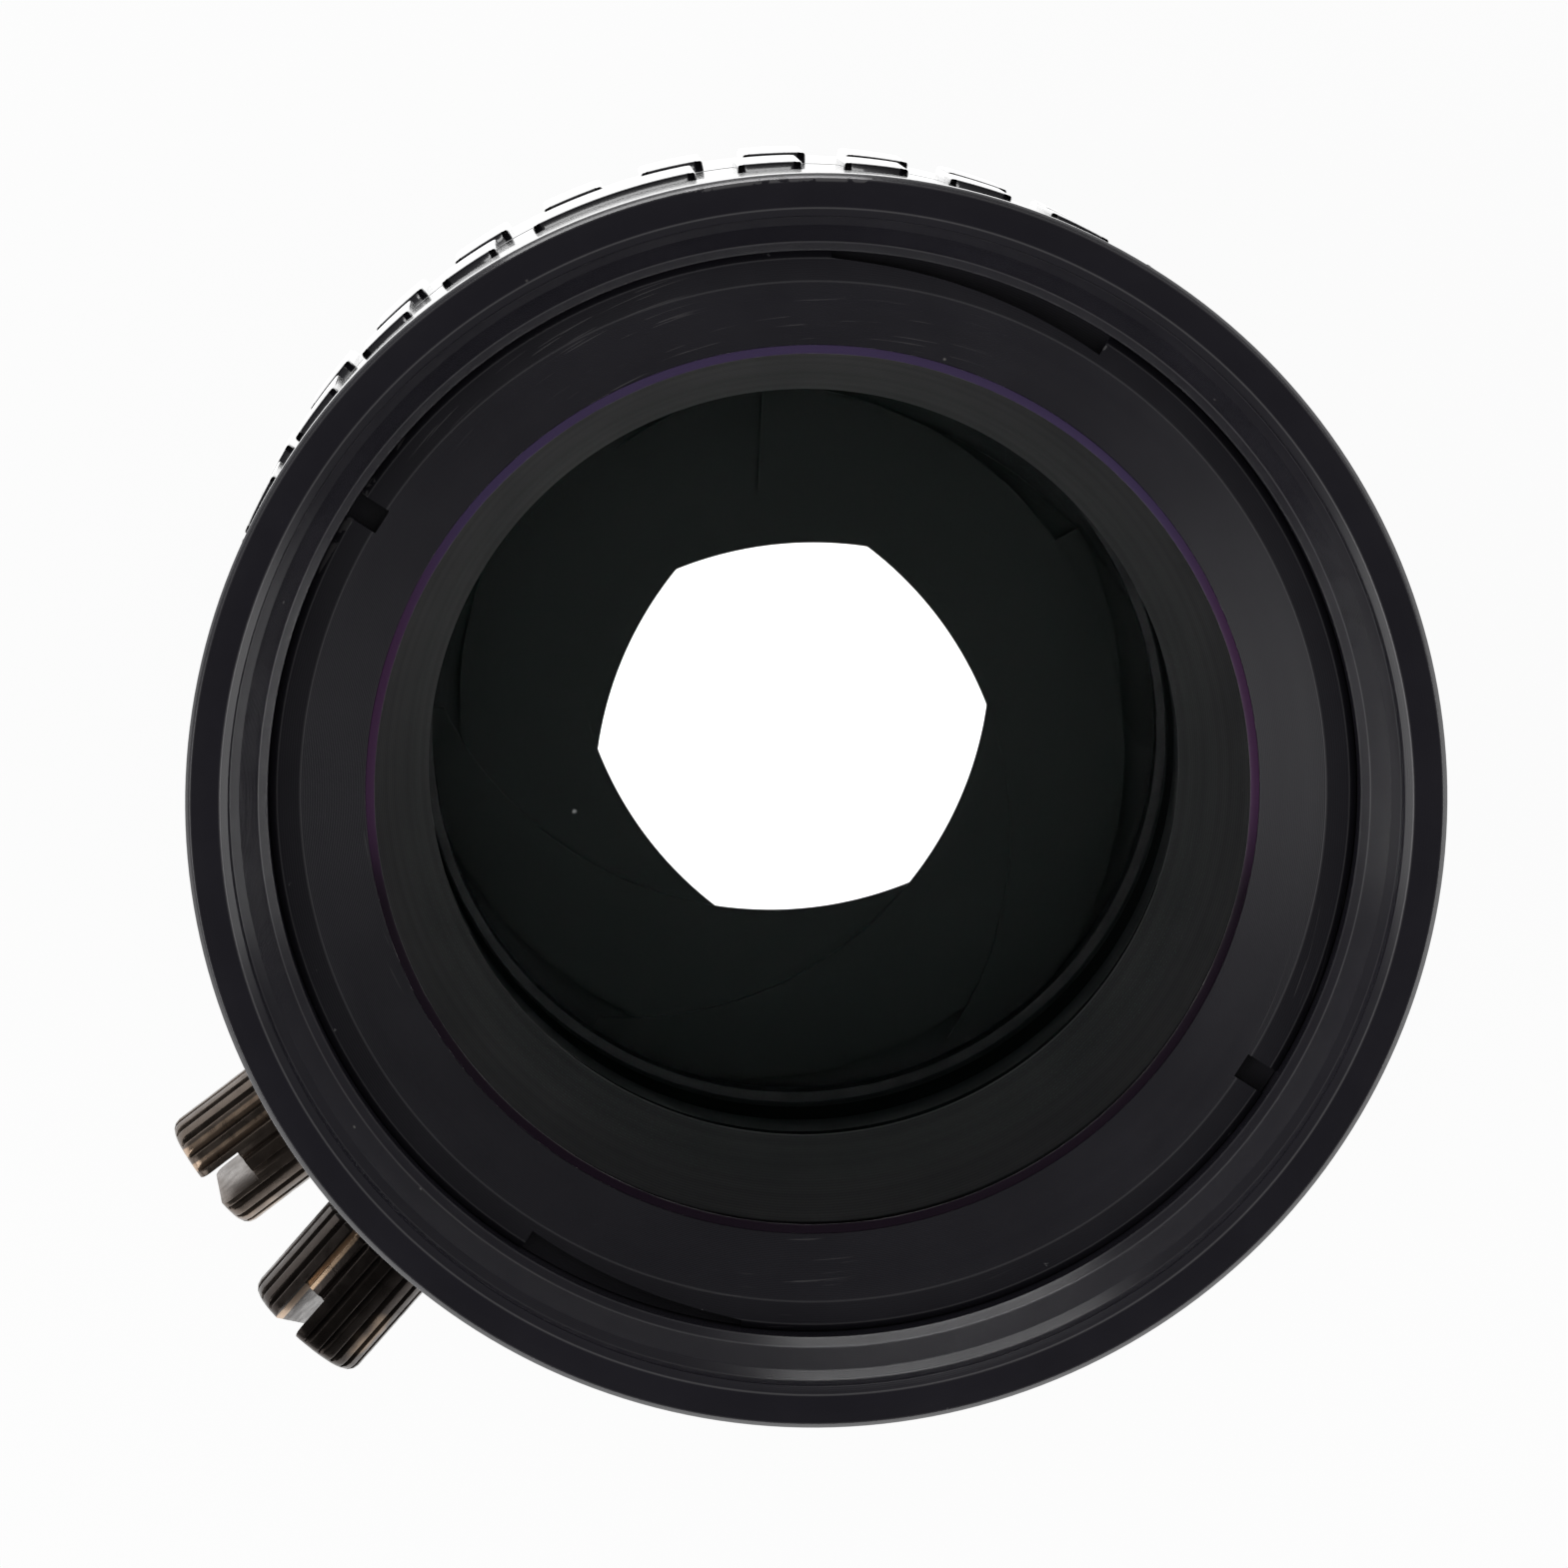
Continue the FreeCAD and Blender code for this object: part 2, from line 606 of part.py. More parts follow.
def front_element():
    """The large front glass."""
    face = retainer_lip_radius - GLASS_LAND
    return glass(front_glass_radius, face, optics_top, front_glass_bottom,
                 FRONT_GLASS_BULGE, FRONT_GLASS_HOLLOW)


def front_spacer():
    """The tapered ring between the front glass and the second glass."""
    entry = retainer_lip_radius - GLASS_LAND
    return turned([
        (spacer_exit_radius, second_top),
        (front_glass_radius, second_top),
        (front_glass_radius, front_glass_bottom),
        (entry, front_glass_bottom),
    ])


def second_element():
    """The second glass, seated under the front spacer."""
    face = spacer_exit_radius - GLASS_LAND
    return glass(GROUP_RADIUS, face, second_top, group_spacer_top, SECOND_GLASS_BULGE, SECOND_GLASS_HOLLOW)


def group_spacer():
    """The thin ring between the second glass and the front doublet."""
    return sleeve(group_lip_radius, GROUP_RADIUS, crown_top, group_spacer_top)


def front_doublet_crown():
    """The forward half of the front cemented pair."""
    face = group_lip_radius - GLASS_LAND
    return glass(GROUP_RADIUS, face, crown_top, flint_top, CROWN_BULGE, -DOUBLET_BULGE)


def front_doublet_flint():
    """The rear half of the front cemented pair, seated on the web."""
    face = group_lip_radius - GLASS_LAND
    return glass(GROUP_RADIUS, face, flint_top, web_top, -DOUBLET_BULGE, FLINT_HOLLOW)


def pivot_point():
    """Where the first blade's pivot stands."""
    return FreeCAD.Vector(pivot_circle, 0, 0)


def drive_point(turn):
    """Where the first blade's drive pin stands when the blade is turned in from fully open."""
    angle = math.radians(-90 - BLADE_TRAVEL / 2 + turn)
    arm = FreeCAD.Vector(DRIVE_ARM * math.cos(angle), DRIVE_ARM * math.sin(angle), 0)
    return pivot_point() + arm


def iris_base_plate():
    """The fixed plate behind the blades, with their pivot holes."""
    plate = sleeve(IRIS_CLEAR_RADIUS, base_radius - FIT_CLEARANCE, base_bottom, base_top)
    holes = []
    for number in range(BLADE_COUNT):
        hole = Part.makeCylinder(PIVOT_PIN_RADIUS + PIN_CLEARANCE, BASE_THICKNESS + 2 * CUT_MARGIN,
                                 point(pivot_circle, base_bottom - CUT_MARGIN))
        holes.append(placed(hole, number * FULL_TURN / BLADE_COUNT))
    return plate.cut(holes)


def blade_plate():
    """The first blade's flat plate in the fully open place, its underside at height 0."""
    hollow_centre = FreeCAD.Vector(0, -BLADE_OPEN_OFFSET, 0)
    full = Part.makeCylinder(BLADE_OUTER_RADIUS, BLADE_THICKNESS, CENTRE, UP, BLADE_END_ANGLE)
    tail_angle = math.degrees(math.asin(PIVOT_EAR / pivot_circle))
    tail = Part.makeCylinder(BLADE_OUTER_RADIUS, BLADE_THICKNESS, CENTRE, UP, tail_angle)
    tail.rotate(CENTRE, UP, -tail_angle)
    hollow = Part.makeCylinder(blade_edge_radius, BLADE_THICKNESS, hollow_centre)
    crescent = full.fuse(tail).cut(hollow)
    pivot = pivot_point()
    drive = drive_point(0)
    ear_radius = PIVOT_PIN_RADIUS + PIVOT_EAR
    drive_ear_radius = DRIVE_PIN_RADIUS + DRIVE_EAR
    ear = Part.makeCylinder(ear_radius, BLADE_THICKNESS, pivot)
    neck_length = pivot_circle - math.sqrt(blade_edge_radius ** 2 - BLADE_OPEN_OFFSET ** 2)
    neck = Part.makeBox(neck_length, 2 * ear_radius, BLADE_THICKNESS,
                        FreeCAD.Vector(pivot_circle - neck_length, -ear_radius, 0))
    drive_ear = Part.makeCylinder(drive_ear_radius, BLADE_THICKNESS, drive)
    arm = Part.makeBox(DRIVE_ARM, 2 * drive_ear_radius, BLADE_THICKNESS,
                       FreeCAD.Vector(0, -drive_ear_radius, 0))
    arm.rotate(CENTRE, UP, -90 - BLADE_TRAVEL / 2)
    arm.translate(pivot)
    return crescent.fuse([ear, neck.cut(hollow), arm, drive_ear]).removeSplitter()


def iris_blade(number, plate):
    """One blade with its pivot pin and drive pin, at the rest opening and on its own level."""
    level = blades_bottom + number * BLADE_PITCH
    pivot = pivot_point()
    drive = drive_point(0)
    blade = plate.copy()
    blade.translate(FreeCAD.Vector(0, 0, level))
    pin_bottom = base_bottom + IRIS_GAP
    pivot_pin = Part.makeCylinder(PIVOT_PIN_RADIUS, level + BLADE_THICKNESS - pin_bottom,
                                  FreeCAD.Vector(pivot.x, pivot.y, pin_bottom))
    drive_pin = Part.makeCylinder(DRIVE_PIN_RADIUS, cam_top - IRIS_GAP - level,
                                  FreeCAD.Vector(drive.x, drive.y, level))
    blade = blade.fuse([pivot_pin, drive_pin]).removeSplitter()
    blade.rotate(pivot, UP, BLADE_REST)
    return placed(blade, number * FULL_TURN / BLADE_COUNT)


def cam_slot():
    """The curved slot that the first blade's drive pin follows, cut through the cam ring."""
    stations = 7
    half_width = DRIVE_PIN_RADIUS + PIN_CLEARANCE
    path = []
    for station in range(stations):
        ring_turn = IRIS_TRAVEL * station / (stations - 1)
        drive = drive_point(BLADE_RATIO * ring_turn)
        turn = math.radians(iris_rest - ring_turn)
        path.append(FreeCAD.Vector(drive.x * math.cos(turn) - drive.y * math.sin(turn),
                                   drive.x * math.sin(turn) + drive.y * math.cos(turn), 0))
    line = Part.BSplineCurve()
    line.interpolate(path)
    sides = {1: [], -1: []}
    for station in range(stations):
        along = line.FirstParameter + (line.LastParameter - line.FirstParameter) * station / (stations - 1)
        here = line.value(along)
        heading = line.tangent(along)[0]
        normal = FreeCAD.Vector(-heading.y, heading.x, 0)
        for side in sides:
            sides[side].append(here + normal * (side * half_width))
    edges = []
    for side in sides:
        curve = Part.BSplineCurve()
        curve.interpolate(sides[side])
        edges.append(curve.toShape())
    for end, sign in ((0, -1), (-1, 1)):
        along = line.FirstParameter if end == 0 else line.LastParameter
        tip = path[end] + line.tangent(along)[0] * (sign * half_width)
        edges.append(Part.Arc(sides[1][end], tip, sides[-1][end]).toShape())
    face = Part.Face(Part.Wire(Part.__sortEdges__(edges)))
    slot = face.extrude(FreeCAD.Vector(0, 0, CAM_THICKNESS + 2 * CUT_MARGIN))
    slot.translate(FreeCAD.Vector(0, 0, cam_bottom - CUT_MARGIN))
    return slot


def iris_cam_ring():
    """The turning ring in front of the blades, with a curved slot for each drive pin."""
    ring = sleeve(cam_inner_radius, cam_radius, cam_bottom, cam_top)
    slot = cam_slot()
    cuts = [placed(slot, number * FULL_TURN / BLADE_COUNT) for number in range(BLADE_COUNT)]
    cuts.append(radial_rod(CAM_PIN_RADIUS + FIT_CLEARANCE, cam_pin_root, cam_radius + CUT_MARGIN,
                           cam_pin_height, DRIVE_PIN_ANGLE))
    return ring.cut(cuts)


def iris_drive_pin():
    """The pin screwed in the cam ring that reaches out to the iris ring's groove."""
    return radial_rod(CAM_PIN_RADIUS, cam_pin_root + FIT_CLEARANCE, cam_pin_tip,
                      cam_pin_height, DRIVE_PIN_ANGLE)


def rear_cell():
    """The tube behind the iris that holds the rear glass and clamps the iris base plate."""
    flange_bottom = base_bottom - CELL_FLANGE
    return turned([
        (cell_lip_radius, base_bottom),
        (base_radius - FIT_CLEARANCE, base_bottom),
        (base_radius - FIT_CLEARANCE, flange_bottom),
        (cell_radius, flange_bottom),
        (cell_radius, cell_bottom),
        (cell_bore, cell_bottom),
        (cell_bore, cell_seat),
        (cell_lip_radius, cell_seat),
    ])


def rear_doublet_flint():
    """The forward half of the rear cemented pair, hollow towards the iris."""
    face = cell_lip_radius - GLASS_LAND
    return glass(rear_glass_radius, face, cell_seat, rear_flint_bottom,
                 -REAR_FLINT_HOLLOW, REAR_DOUBLET_BULGE)


def rear_doublet_crown():
    """The rear half of the rear cemented pair."""
    face = cell_lip_radius - GLASS_LAND
    return glass(rear_glass_radius, face, rear_flint_bottom, rear_crown_bottom,
                 REAR_DOUBLET_BULGE, -REAR_CROWN_BULGE)


def rear_spacer():
    """The ring between the rear pair and the rear glass."""
    return sleeve(cell_lip_radius, rear_glass_radius, rear_spacer_bottom, rear_crown_bottom)


def rear_element():
    """The last glass before the camera."""
    face = cell_lip_radius - GLASS_LAND
    return glass(rear_glass_radius, face, rear_spacer_bottom, rear_glass_bottom, REAR_GLASS_BULGE, 0)


def rear_retaining_ring():
    """The slotted ring that clamps the rear glass."""
    ring = sleeve(cell_lip_radius, rear_glass_radius, rear_retainer_bottom, rear_glass_bottom)
    slots = [
        radial_box(cell_lip_radius - CUT_MARGIN, cell_bore + CUT_MARGIN, REAR_SLOT_WIDTH,
                   rear_retainer_bottom - CUT_MARGIN, rear_retainer_bottom + REAR_RETAINER_LENGTH / 2, turn)
        for turn in (0, FULL_TURN / 2)
    ]
    return ring.cut(slots)


def lock_pad(height, angle):
    """The soft disc between a lock screw and the main barrel."""
    inner = main_radius + LOCK_GAP
    return radial_rod(LOCK_PAD_RADIUS, inner, inner + LOCK_PAD_LENGTH, height, angle)


def lock_screw(height, angle, slot_tilt):
    """A thumbscrew with a straight-ribbed head and a screwdriver slot."""
    tip = main_radius + LOCK_GAP + LOCK_PAD_LENGTH
    head_top = lock_head_base + LOCK_HEAD_LENGTH
    collar_bottom = lock_head_base - LOCK_COLLAR_LENGTH
    half = [
        (0, tip),
        (LOCK_THREAD_RADIUS, tip),
        (LOCK_THREAD_RADIUS, collar_bottom),
        (LOCK_COLLAR_RADIUS, collar_bottom),
        (LOCK_COLLAR_RADIUS, lock_head_base),
        (LOCK_HEAD_RADIUS - EDGE_BREAK, lock_head_base),
        (LOCK_HEAD_RADIUS, lock_head_base + EDGE_BREAK),
        (LOCK_HEAD_RADIUS, head_top - LOCK_HEAD_CHAMFER),
        (LOCK_HEAD_RADIUS - LOCK_HEAD_CHAMFER, head_top),
        (0, head_top),
    ]
    screw = turned(half)
    cuts = []
    for rib in range(LOCK_RIB_COUNT):
        cuts.append(radial_box(LOCK_HEAD_RADIUS - LOCK_RIB_DEPTH, LOCK_HEAD_RADIUS + CUT_MARGIN,
                               LOCK_RIB_GAP, lock_head_base - EDGE_BREAK, head_top + CUT_MARGIN,
                               (rib + 0.5) * FULL_TURN / LOCK_RIB_COUNT))
    cuts.append(radial_box(-LOCK_HEAD_RADIUS - CUT_MARGIN, LOCK_HEAD_RADIUS + CUT_MARGIN,
                           LOCK_SLOT_WIDTH, head_top - LOCK_SLOT_DEPTH, head_top + CUT_MARGIN, 0))
    screw = screw.cut(cuts)
    screw.rotate(CENTRE, UP, FULL_TURN / 2 - slot_tilt)
    screw.rotate(CENTRE, FreeCAD.Vector(0, 1, 0), 90)
    screw.translate(FreeCAD.Vector(0, 0, height))
    return placed(screw, angle)


def pieces():
    """Every piece by its node's name."""
    made = {
        "mount_barrel": mount_barrel(),
        "mount_set_screws": mount_set_screws(),
        "main_barrel": main_barrel(),
        "guide_pin": guide_pin(),
        "focus_stop_pin": focus_stop_pin(),
        "focus_retaining_ring": focus_retaining_ring(),
        "focus_ring": focus_ring(),
        "helicoid_nut": helicoid_nut(),
        "iris_ring": iris_ring(),
        "front_barrel": front_barrel(),
        "optics_barrel": optics_barrel(),
        "front_retaining_ring": front_retaining_ring(),
        "front_element": front_element(),
        "front_spacer": front_spacer(),
        "second_element": second_element(),
        "group_spacer": group_spacer(),
        "front_doublet_crown": front_doublet_crown(),
        "front_doublet_flint": front_doublet_flint(),
        "iris_base_plate": iris_base_plate(),
        "iris_cam_ring": iris_cam_ring(),
        "iris_drive_pin": iris_drive_pin(),
        "rear_cell": rear_cell(),
        "rear_doublet_flint": rear_doublet_flint(),
        "rear_doublet_crown": rear_doublet_crown(),
        "rear_spacer": rear_spacer(),
        "rear_element": rear_element(),
        "rear_retaining_ring": rear_retaining_ring(),
        "focus_lock_pad": lock_pad(focus_lock_height, FOCUS_LOCK_ANGLE),
        "focus_lock_screw": lock_screw(focus_lock_height, FOCUS_LOCK_ANGLE, FOCUS_SLOT_TILT),
        "iris_lock_pad": lock_pad(iris_lock_height, IRIS_LOCK_ANGLE),
        "iris_lock_screw": lock_screw(iris_lock_height, IRIS_LOCK_ANGLE, IRIS_SLOT_TILT),
    }
    plate = blade_plate()
    for number in range(BLADE_COUNT):
        made["iris_blade_%d" % (number + 1)] = iris_blade(number, plate)
    return made


os.makedirs("parts", exist_ok=True)
for name, shape in pieces().items():
    shape.exportStep(os.path.join("parts", name + ".step"))
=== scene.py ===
"""A C-mount machine vision lens standing on its mount, seen into its front glass.

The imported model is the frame: every piece made here takes its place from it, rides one of its
bodies and, where it stands for a node, replaces that node. Lengths are written in millimetres
and turned into metres when a mesh is finished.
"""

from __future__ import annotations

import logging
import math
from dataclasses import dataclass, field
from enum import Enum

import bmesh
import bpy
from mathutils import Matrix, Vector

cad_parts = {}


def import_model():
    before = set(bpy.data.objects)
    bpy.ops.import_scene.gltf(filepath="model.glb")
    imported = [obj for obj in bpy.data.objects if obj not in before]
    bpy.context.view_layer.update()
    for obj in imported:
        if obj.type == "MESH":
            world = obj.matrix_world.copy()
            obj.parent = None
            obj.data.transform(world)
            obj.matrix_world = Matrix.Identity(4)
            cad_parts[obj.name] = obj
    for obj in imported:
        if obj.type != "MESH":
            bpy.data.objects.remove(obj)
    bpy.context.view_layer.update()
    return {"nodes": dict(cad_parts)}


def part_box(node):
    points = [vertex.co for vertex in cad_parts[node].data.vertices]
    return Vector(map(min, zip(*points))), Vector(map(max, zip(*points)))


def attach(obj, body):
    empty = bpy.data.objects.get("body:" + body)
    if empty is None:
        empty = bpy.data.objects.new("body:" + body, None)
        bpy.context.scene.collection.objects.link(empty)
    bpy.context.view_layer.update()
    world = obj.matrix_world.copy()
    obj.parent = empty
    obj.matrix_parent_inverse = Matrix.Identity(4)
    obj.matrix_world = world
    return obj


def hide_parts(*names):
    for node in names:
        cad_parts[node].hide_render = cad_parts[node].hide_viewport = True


LOG = logging.getLogger("lens")
MM = 0.001
FULL_TURN = 2 * math.pi
MERGE_DISTANCE = 1e-5
# each lock screw's direction from the axis, in degrees, and its height, in millimetres
FOCUS_LOCK = (228.7, 23.7)
IRIS_LOCK = (217.2, 15.0)


class Body(str, Enum):
    """The moving bodies of the frame that pieces ride on."""

    ROOT = "root"
    LENS_UNIT = "lens_unit"
    FOCUS_RING = "focus_ring"
    IRIS_RING = "iris_ring"
    IRIS_CAM = "iris_cam"
    FOCUS_SCREW = "focus_lock_screw"
    IRIS_SCREW = "iris_lock_screw"


class Slot(str, Enum):
    """Material slot names."""

    BLACK = "anodised_black"
    MATTE = "anodised_matte"
    GLASS = "lens_glass"
    NICKEL = "black_nickel"
    BRASS = "helicoid_brass"
    STEEL = "cam_steel"
    BLADE = "blade_steel"
    NYLON = "pad_nylon"


class NodeTree:
    """A material's node tree while it is being built."""

    def __init__(self, name: str) -> None:
        """Start an empty material.

        Args:
            name: the material's name.
        """
        self.material = bpy.data.materials.new(name)
        self.material.use_nodes = True
        self.tree = self.material.node_tree
        self.tree.nodes.clear()
        self.output = self.tree.nodes.new("ShaderNodeOutputMaterial")

    def add(self, kind: str, settings: dict | None = None, **sockets: object) -> bpy.types.Node:
        """Add a node.

        Args:
            kind: the node's type after "ShaderNode".
            settings: attributes to set on the node.
            sockets: input name with underscores for spaces, and a value or an output to link.

        Returns:
            The new node.
        """
        node = self.tree.nodes.new("ShaderNode" + kind)
        for key, value in (settings or {}).items():
            setattr(node, key, value)
        for key, value in sockets.items():
            self.feed(node.inputs[key.replace("_", " ")], value)
        return node

    def feed(self, socket: bpy.types.NodeSocket, value: object) -> None:
        """Link an output to a socket, or set its value.

        Args:
            socket: the input.
            value: an output to link, or a plain value.
        """
        if isinstance(value, bpy.types.NodeSocket):
            self.tree.links.new(value, socket)
        else:
            socket.default_value = value

    def math(self, operation: str, first: object, second: object = 0.0) -> bpy.types.NodeSocket:
        """Add a Math node.

        Args:
            operation: what it does.
            first: its first input, a number or an output.
            second: its second input.

        Returns:
            Its value.
        """
        node = self.add("Math", {"operation": operation})
        self.feed(node.inputs[0], first)
        self.feed(node.inputs[1], second)
        return node.outputs[0]

    def span(self, value: object, low: float, high: float, start: float = 0.0,
             end: float = 1.0) -> bpy.types.NodeSocket:
        """Map a value smoothly from one range to another and stop at its ends.

        Args:
            value: the value.
            low: where the first range starts.
            high: where it ends.
            start: where the second range starts.
            end: where it ends.

        Returns:
            The mapped value.
        """
        node = self.add("MapRange", {"interpolation_type": "SMOOTHSTEP"}, Value=value)
        for name, number in (("From Min", low), ("From Max", high), ("To Min", start), ("To Max", end)):
            node.inputs[name].default_value = number
        return node.outputs[0]

    def blend(self, factor: object, first: object, second: object) -> bpy.types.NodeSocket:
        """Mix two colours.

        Args:
            factor: how much of the second one shows.
            first: a colour or an output.
            second: the other one.

        Returns:
            The mixed colour.
        """
        node = self.add("Mix", {"data_type": "RGBA"})
        self.feed(node.inputs["Factor"], factor)
        self.feed(node.inputs[6], first)
        self.feed(node.inputs[7], second)
        return node.outputs[2]

    def place(self) -> bpy.types.NodeSocket:
        """The point on the piece, in metres in the frame."""
        return self.add("TexCoord").outputs["Object"]

    def noise(self, scale: float, detail: float = 3.0, vector: object = None) -> bpy.types.NodeSocket:
        """Add a noise.

        Args:
            scale: about how many features a metre has.
            detail: how many finer layers it has.
            vector: where it is read; the point on the piece when left out.

        Returns:
            A value round one half.
        """
        node = self.add("TexNoise", None, Scale=scale, Detail=detail, Roughness=0.55)
        self.feed(node.inputs["Vector"], self.place() if vector is None else vector)
        return node.outputs["Fac"]

    def radius_and_height(self) -> tuple[bpy.types.NodeSocket, bpy.types.NodeSocket]:
        """Measure from the lens's axis.

        Returns:
            The distance from the axis and the height, in millimetres.
        """
        parts = self.add("SeparateXYZ", None, Vector=self.place())
        flat = self.add("CombineXYZ", None, X=parts.outputs["X"], Y=parts.outputs["Y"])
        length = self.add("VectorMath", {"operation": "LENGTH"})
        self.feed(length.inputs[0], flat.outputs[0])
        radius = self.math("MULTIPLY", length.outputs["Value"], 1 / MM)
        return radius, self.math("MULTIPLY", parts.outputs["Z"], 1 / MM)

    def bump(self, height: object, distance: float, under: object = None) -> bpy.types.NodeSocket:
        """Add a bump.

        Args:
            height: the bump's height from 0 to 1.
            distance: how far a height of 1 rises, in metres.
            under: a bumped normal that it lies on.

        Returns:
            The bumped normal.
        """
        node = self.add("Bump", None, Strength=1.0, Distance=distance, Height=height)
        if under is not None:
            self.feed(node.inputs["Normal"], under)
        return node.outputs[0]

    def finish(self, surface: bpy.types.NodeSocket) -> bpy.types.Material:
        """Close the tree with its surface shader."""
        self.feed(self.output.inputs["Surface"], surface)
        return self.material


@dataclass(frozen=True)
class WornEdge:
    """A turned edge rubbed thin all round and chipped towards one side."""

    radius: float
    height: float
    reach: float = 0.06
    rubbed: float = 0.09
    chips: float = 0.0
    chipped_at: float = 94.0
    chipped_width: float = 0.02


@dataclass(frozen=True)
class Anodised:
    """Black anodised aluminium with turning marks, fine grain, dust and worn edges."""

    name: str
    colour: tuple[float, float, float] = (0.0105, 0.0098, 0.0125)
    roughness: float = 0.34
    turning: float = 1.0
    turning_pitch: float = 0.09
    grain: float = 0.6
    dust: float = 0.4
    scratched: float = 0.0
    metal: tuple[float, float, float] = (0.42, 0.41, 0.42)
    worn: tuple[WornEdge, ...] = ()
    specular: float = 0.5
    seal: float = 0.0
    seal_from: float = 0.0
    seal_roughness: float = 0.08

    def build(self) -> bpy.types.Material:
        """Make the material.

        Returns:
            The material.
        """
        tree = NodeTree(self.name)
        radius, height = tree.radius_and_height()
        along = tree.math("ADD", radius, tree.math("MULTIPLY", height, 0.83))
        wander = tree.math("MULTIPLY", tree.noise(240.0, 2.0), 0.12)
        phase = tree.math("MULTIPLY", tree.math("ADD", along, wander), FULL_TURN / self.turning_pitch)
        lines = tree.math("SINE", phase)
        straight = tree.add("CombineXYZ", None, X=tree.math("MULTIPLY", along, MM))
        bands = tree.noise(1100.0, 2.0, straight.outputs[0])
        cloud = tree.noise(320.0, 4.0)
        fine = tree.noise(16000.0, 2.0)
        smear = tree.span(cloud, 0.3, 0.75, -0.02, 0.03)
        roughness = tree.math("ADD", tree.math("ADD", smear, self.roughness),
                              tree.span(bands, 0.3, 0.7, -0.04, 0.04))
        colour = tree.blend(tree.span(cloud, 0.3, 0.75), (*self.colour, 1.0),
                            (*(1.18 * part for part in self.colour), 1.0))
        if self.scratched:
            colour = self.scratches(tree, colour)
        specks = tree.add("TexVoronoi", {"feature": "F1"}, Scale=1500.0, Randomness=1.0)
        tree.feed(specks.inputs["Vector"], tree.place())
        chance = tree.add("SeparateColor", None, Color=specks.outputs["Color"]).outputs[0]
        speck = tree.math("MULTIPLY", tree.span(specks.outputs["Distance"], 0.10, 0.03),
                          tree.span(chance, 0.955, 0.965, 0.0, self.dust))
        colour = tree.blend(speck, colour, (0.22, 0.21, 0.20, 1.0))
        bare = self.wear(tree, radius, height) if self.worn else None
        metallic: object = 0.0
        if bare is not None:
            colour = tree.blend(bare, colour, (*self.metal, 1.0))
            metallic = tree.math("MULTIPLY", bare, 0.85)
            roughness = tree.math("ADD", roughness, tree.math("MULTIPLY", bare, 0.12))
        normal = tree.bump(lines, 0.0000016 * self.turning)
        normal = tree.bump(fine, 0.000004 * self.grain, under=normal)
        shader = tree.add("BsdfPrincipled", None, Base_Color=colour, Roughness=roughness, Metallic=metallic,
                          Normal=normal)
        shader.inputs["Specular IOR Level"].default_value = self.specular
        sealed = tree.span(radius, self.seal_from - 0.3, self.seal_from, 0.0, self.seal)
        tree.feed(shader.inputs["Coat Weight"], sealed)
        shader.inputs["Coat Roughness"].default_value = self.seal_roughness
        return tree.finish(shader.outputs[0])

    def wear(self, tree: NodeTree, radius: bpy.types.NodeSocket,
             height: bpy.types.NodeSocket) -> bpy.types.NodeSocket:
        """Rub a thin line along each worn edge and chip it on its worn side.

        Args:
            tree: the material's tree.
            radius: the distance from the axis, in millimetres.
            height: the height, in millimetres.

        Returns:
            How bare the metal is, from 0 to 1.
        """
        chips = tree.math("ADD", tree.noise(2600.0, 4.0), tree.math("MULTIPLY", tree.noise(190.0, 2.0), 0.5))
        bare: object = 0.0
        for edge in self.worn:
            across = tree.math("SUBTRACT", radius, edge.radius)
            up = tree.math("SUBTRACT", height, edge.height)
            gap = tree.math("SQRT", tree.math("ADD", tree.math("MULTIPLY", across, across),
                                              tree.math("MULTIPLY", up, up)))
            side = tree.add("VectorMath", {"operation": "DOT_PRODUCT"})
            tree.feed(side.inputs[0], tree.place())
            turn = math.radians(edge.chipped_at)
            metre = edge.radius * MM
            side.inputs[1].default_value = (math.cos(turn) / metre, math.sin(turn) / metre, 0)
            width = edge.chipped_width
            spot = tree.span(side.outputs["Value"], 1 - width, 1 - width / 3, 0.0, 0.3)
            rubbed = tree.span(gap, edge.reach, 0.0, 0.0, edge.rubbed)
            flaked = tree.span(tree.math("ADD", chips, spot), 1.0, 1.05, 0.0, edge.chips)
            broken = tree.math("MULTIPLY", flaked, tree.span(gap, edge.reach * 2.5, edge.reach))
            bare = tree.math("MAXIMUM", bare, tree.math("MAXIMUM", rubbed, broken))
        return bare

    def scratches(self, tree: NodeTree, colour: bpy.types.NodeSocket) -> bpy.types.NodeSocket:
        """Lay a few hair-fine scratches round the axis over a colour.

        Args:
            tree: the material's tree.
            colour: the colour under them.

        Returns:
            The scratched colour.
        """
        radius, _ = tree.radius_and_height()
        parts = tree.add("SeparateXYZ", None, Vector=tree.place())
        turn = tree.math("ARCTAN2", parts.outputs["Y"], parts.outputs["X"])
        slant = tree.math("ADD", radius, tree.math("MULTIPLY", turn, 0.7))
        polar = tree.add("CombineXYZ", None, X=turn, Y=tree.math("MULTIPLY", slant, 3.0))
        streak = tree.noise(3.6, 2.0, polar.outputs[0])
        wanted = tree.span(tree.noise(130.0, 1.0), 0.54, 0.68)
        fine = tree.span(streak, 0.645, 0.665, 0.0, self.scratched)
        return tree.blend(tree.math("MULTIPLY", fine, wanted), colour, (0.13, 0.125, 0.13, 1.0))


@dataclass(frozen=True)
class PaintedHighlightRib:
    """A painted warm highlight along one rib on the head's upper side: how far beside the screw's axis and
    how wide.
    """

    beside: float
    width: float


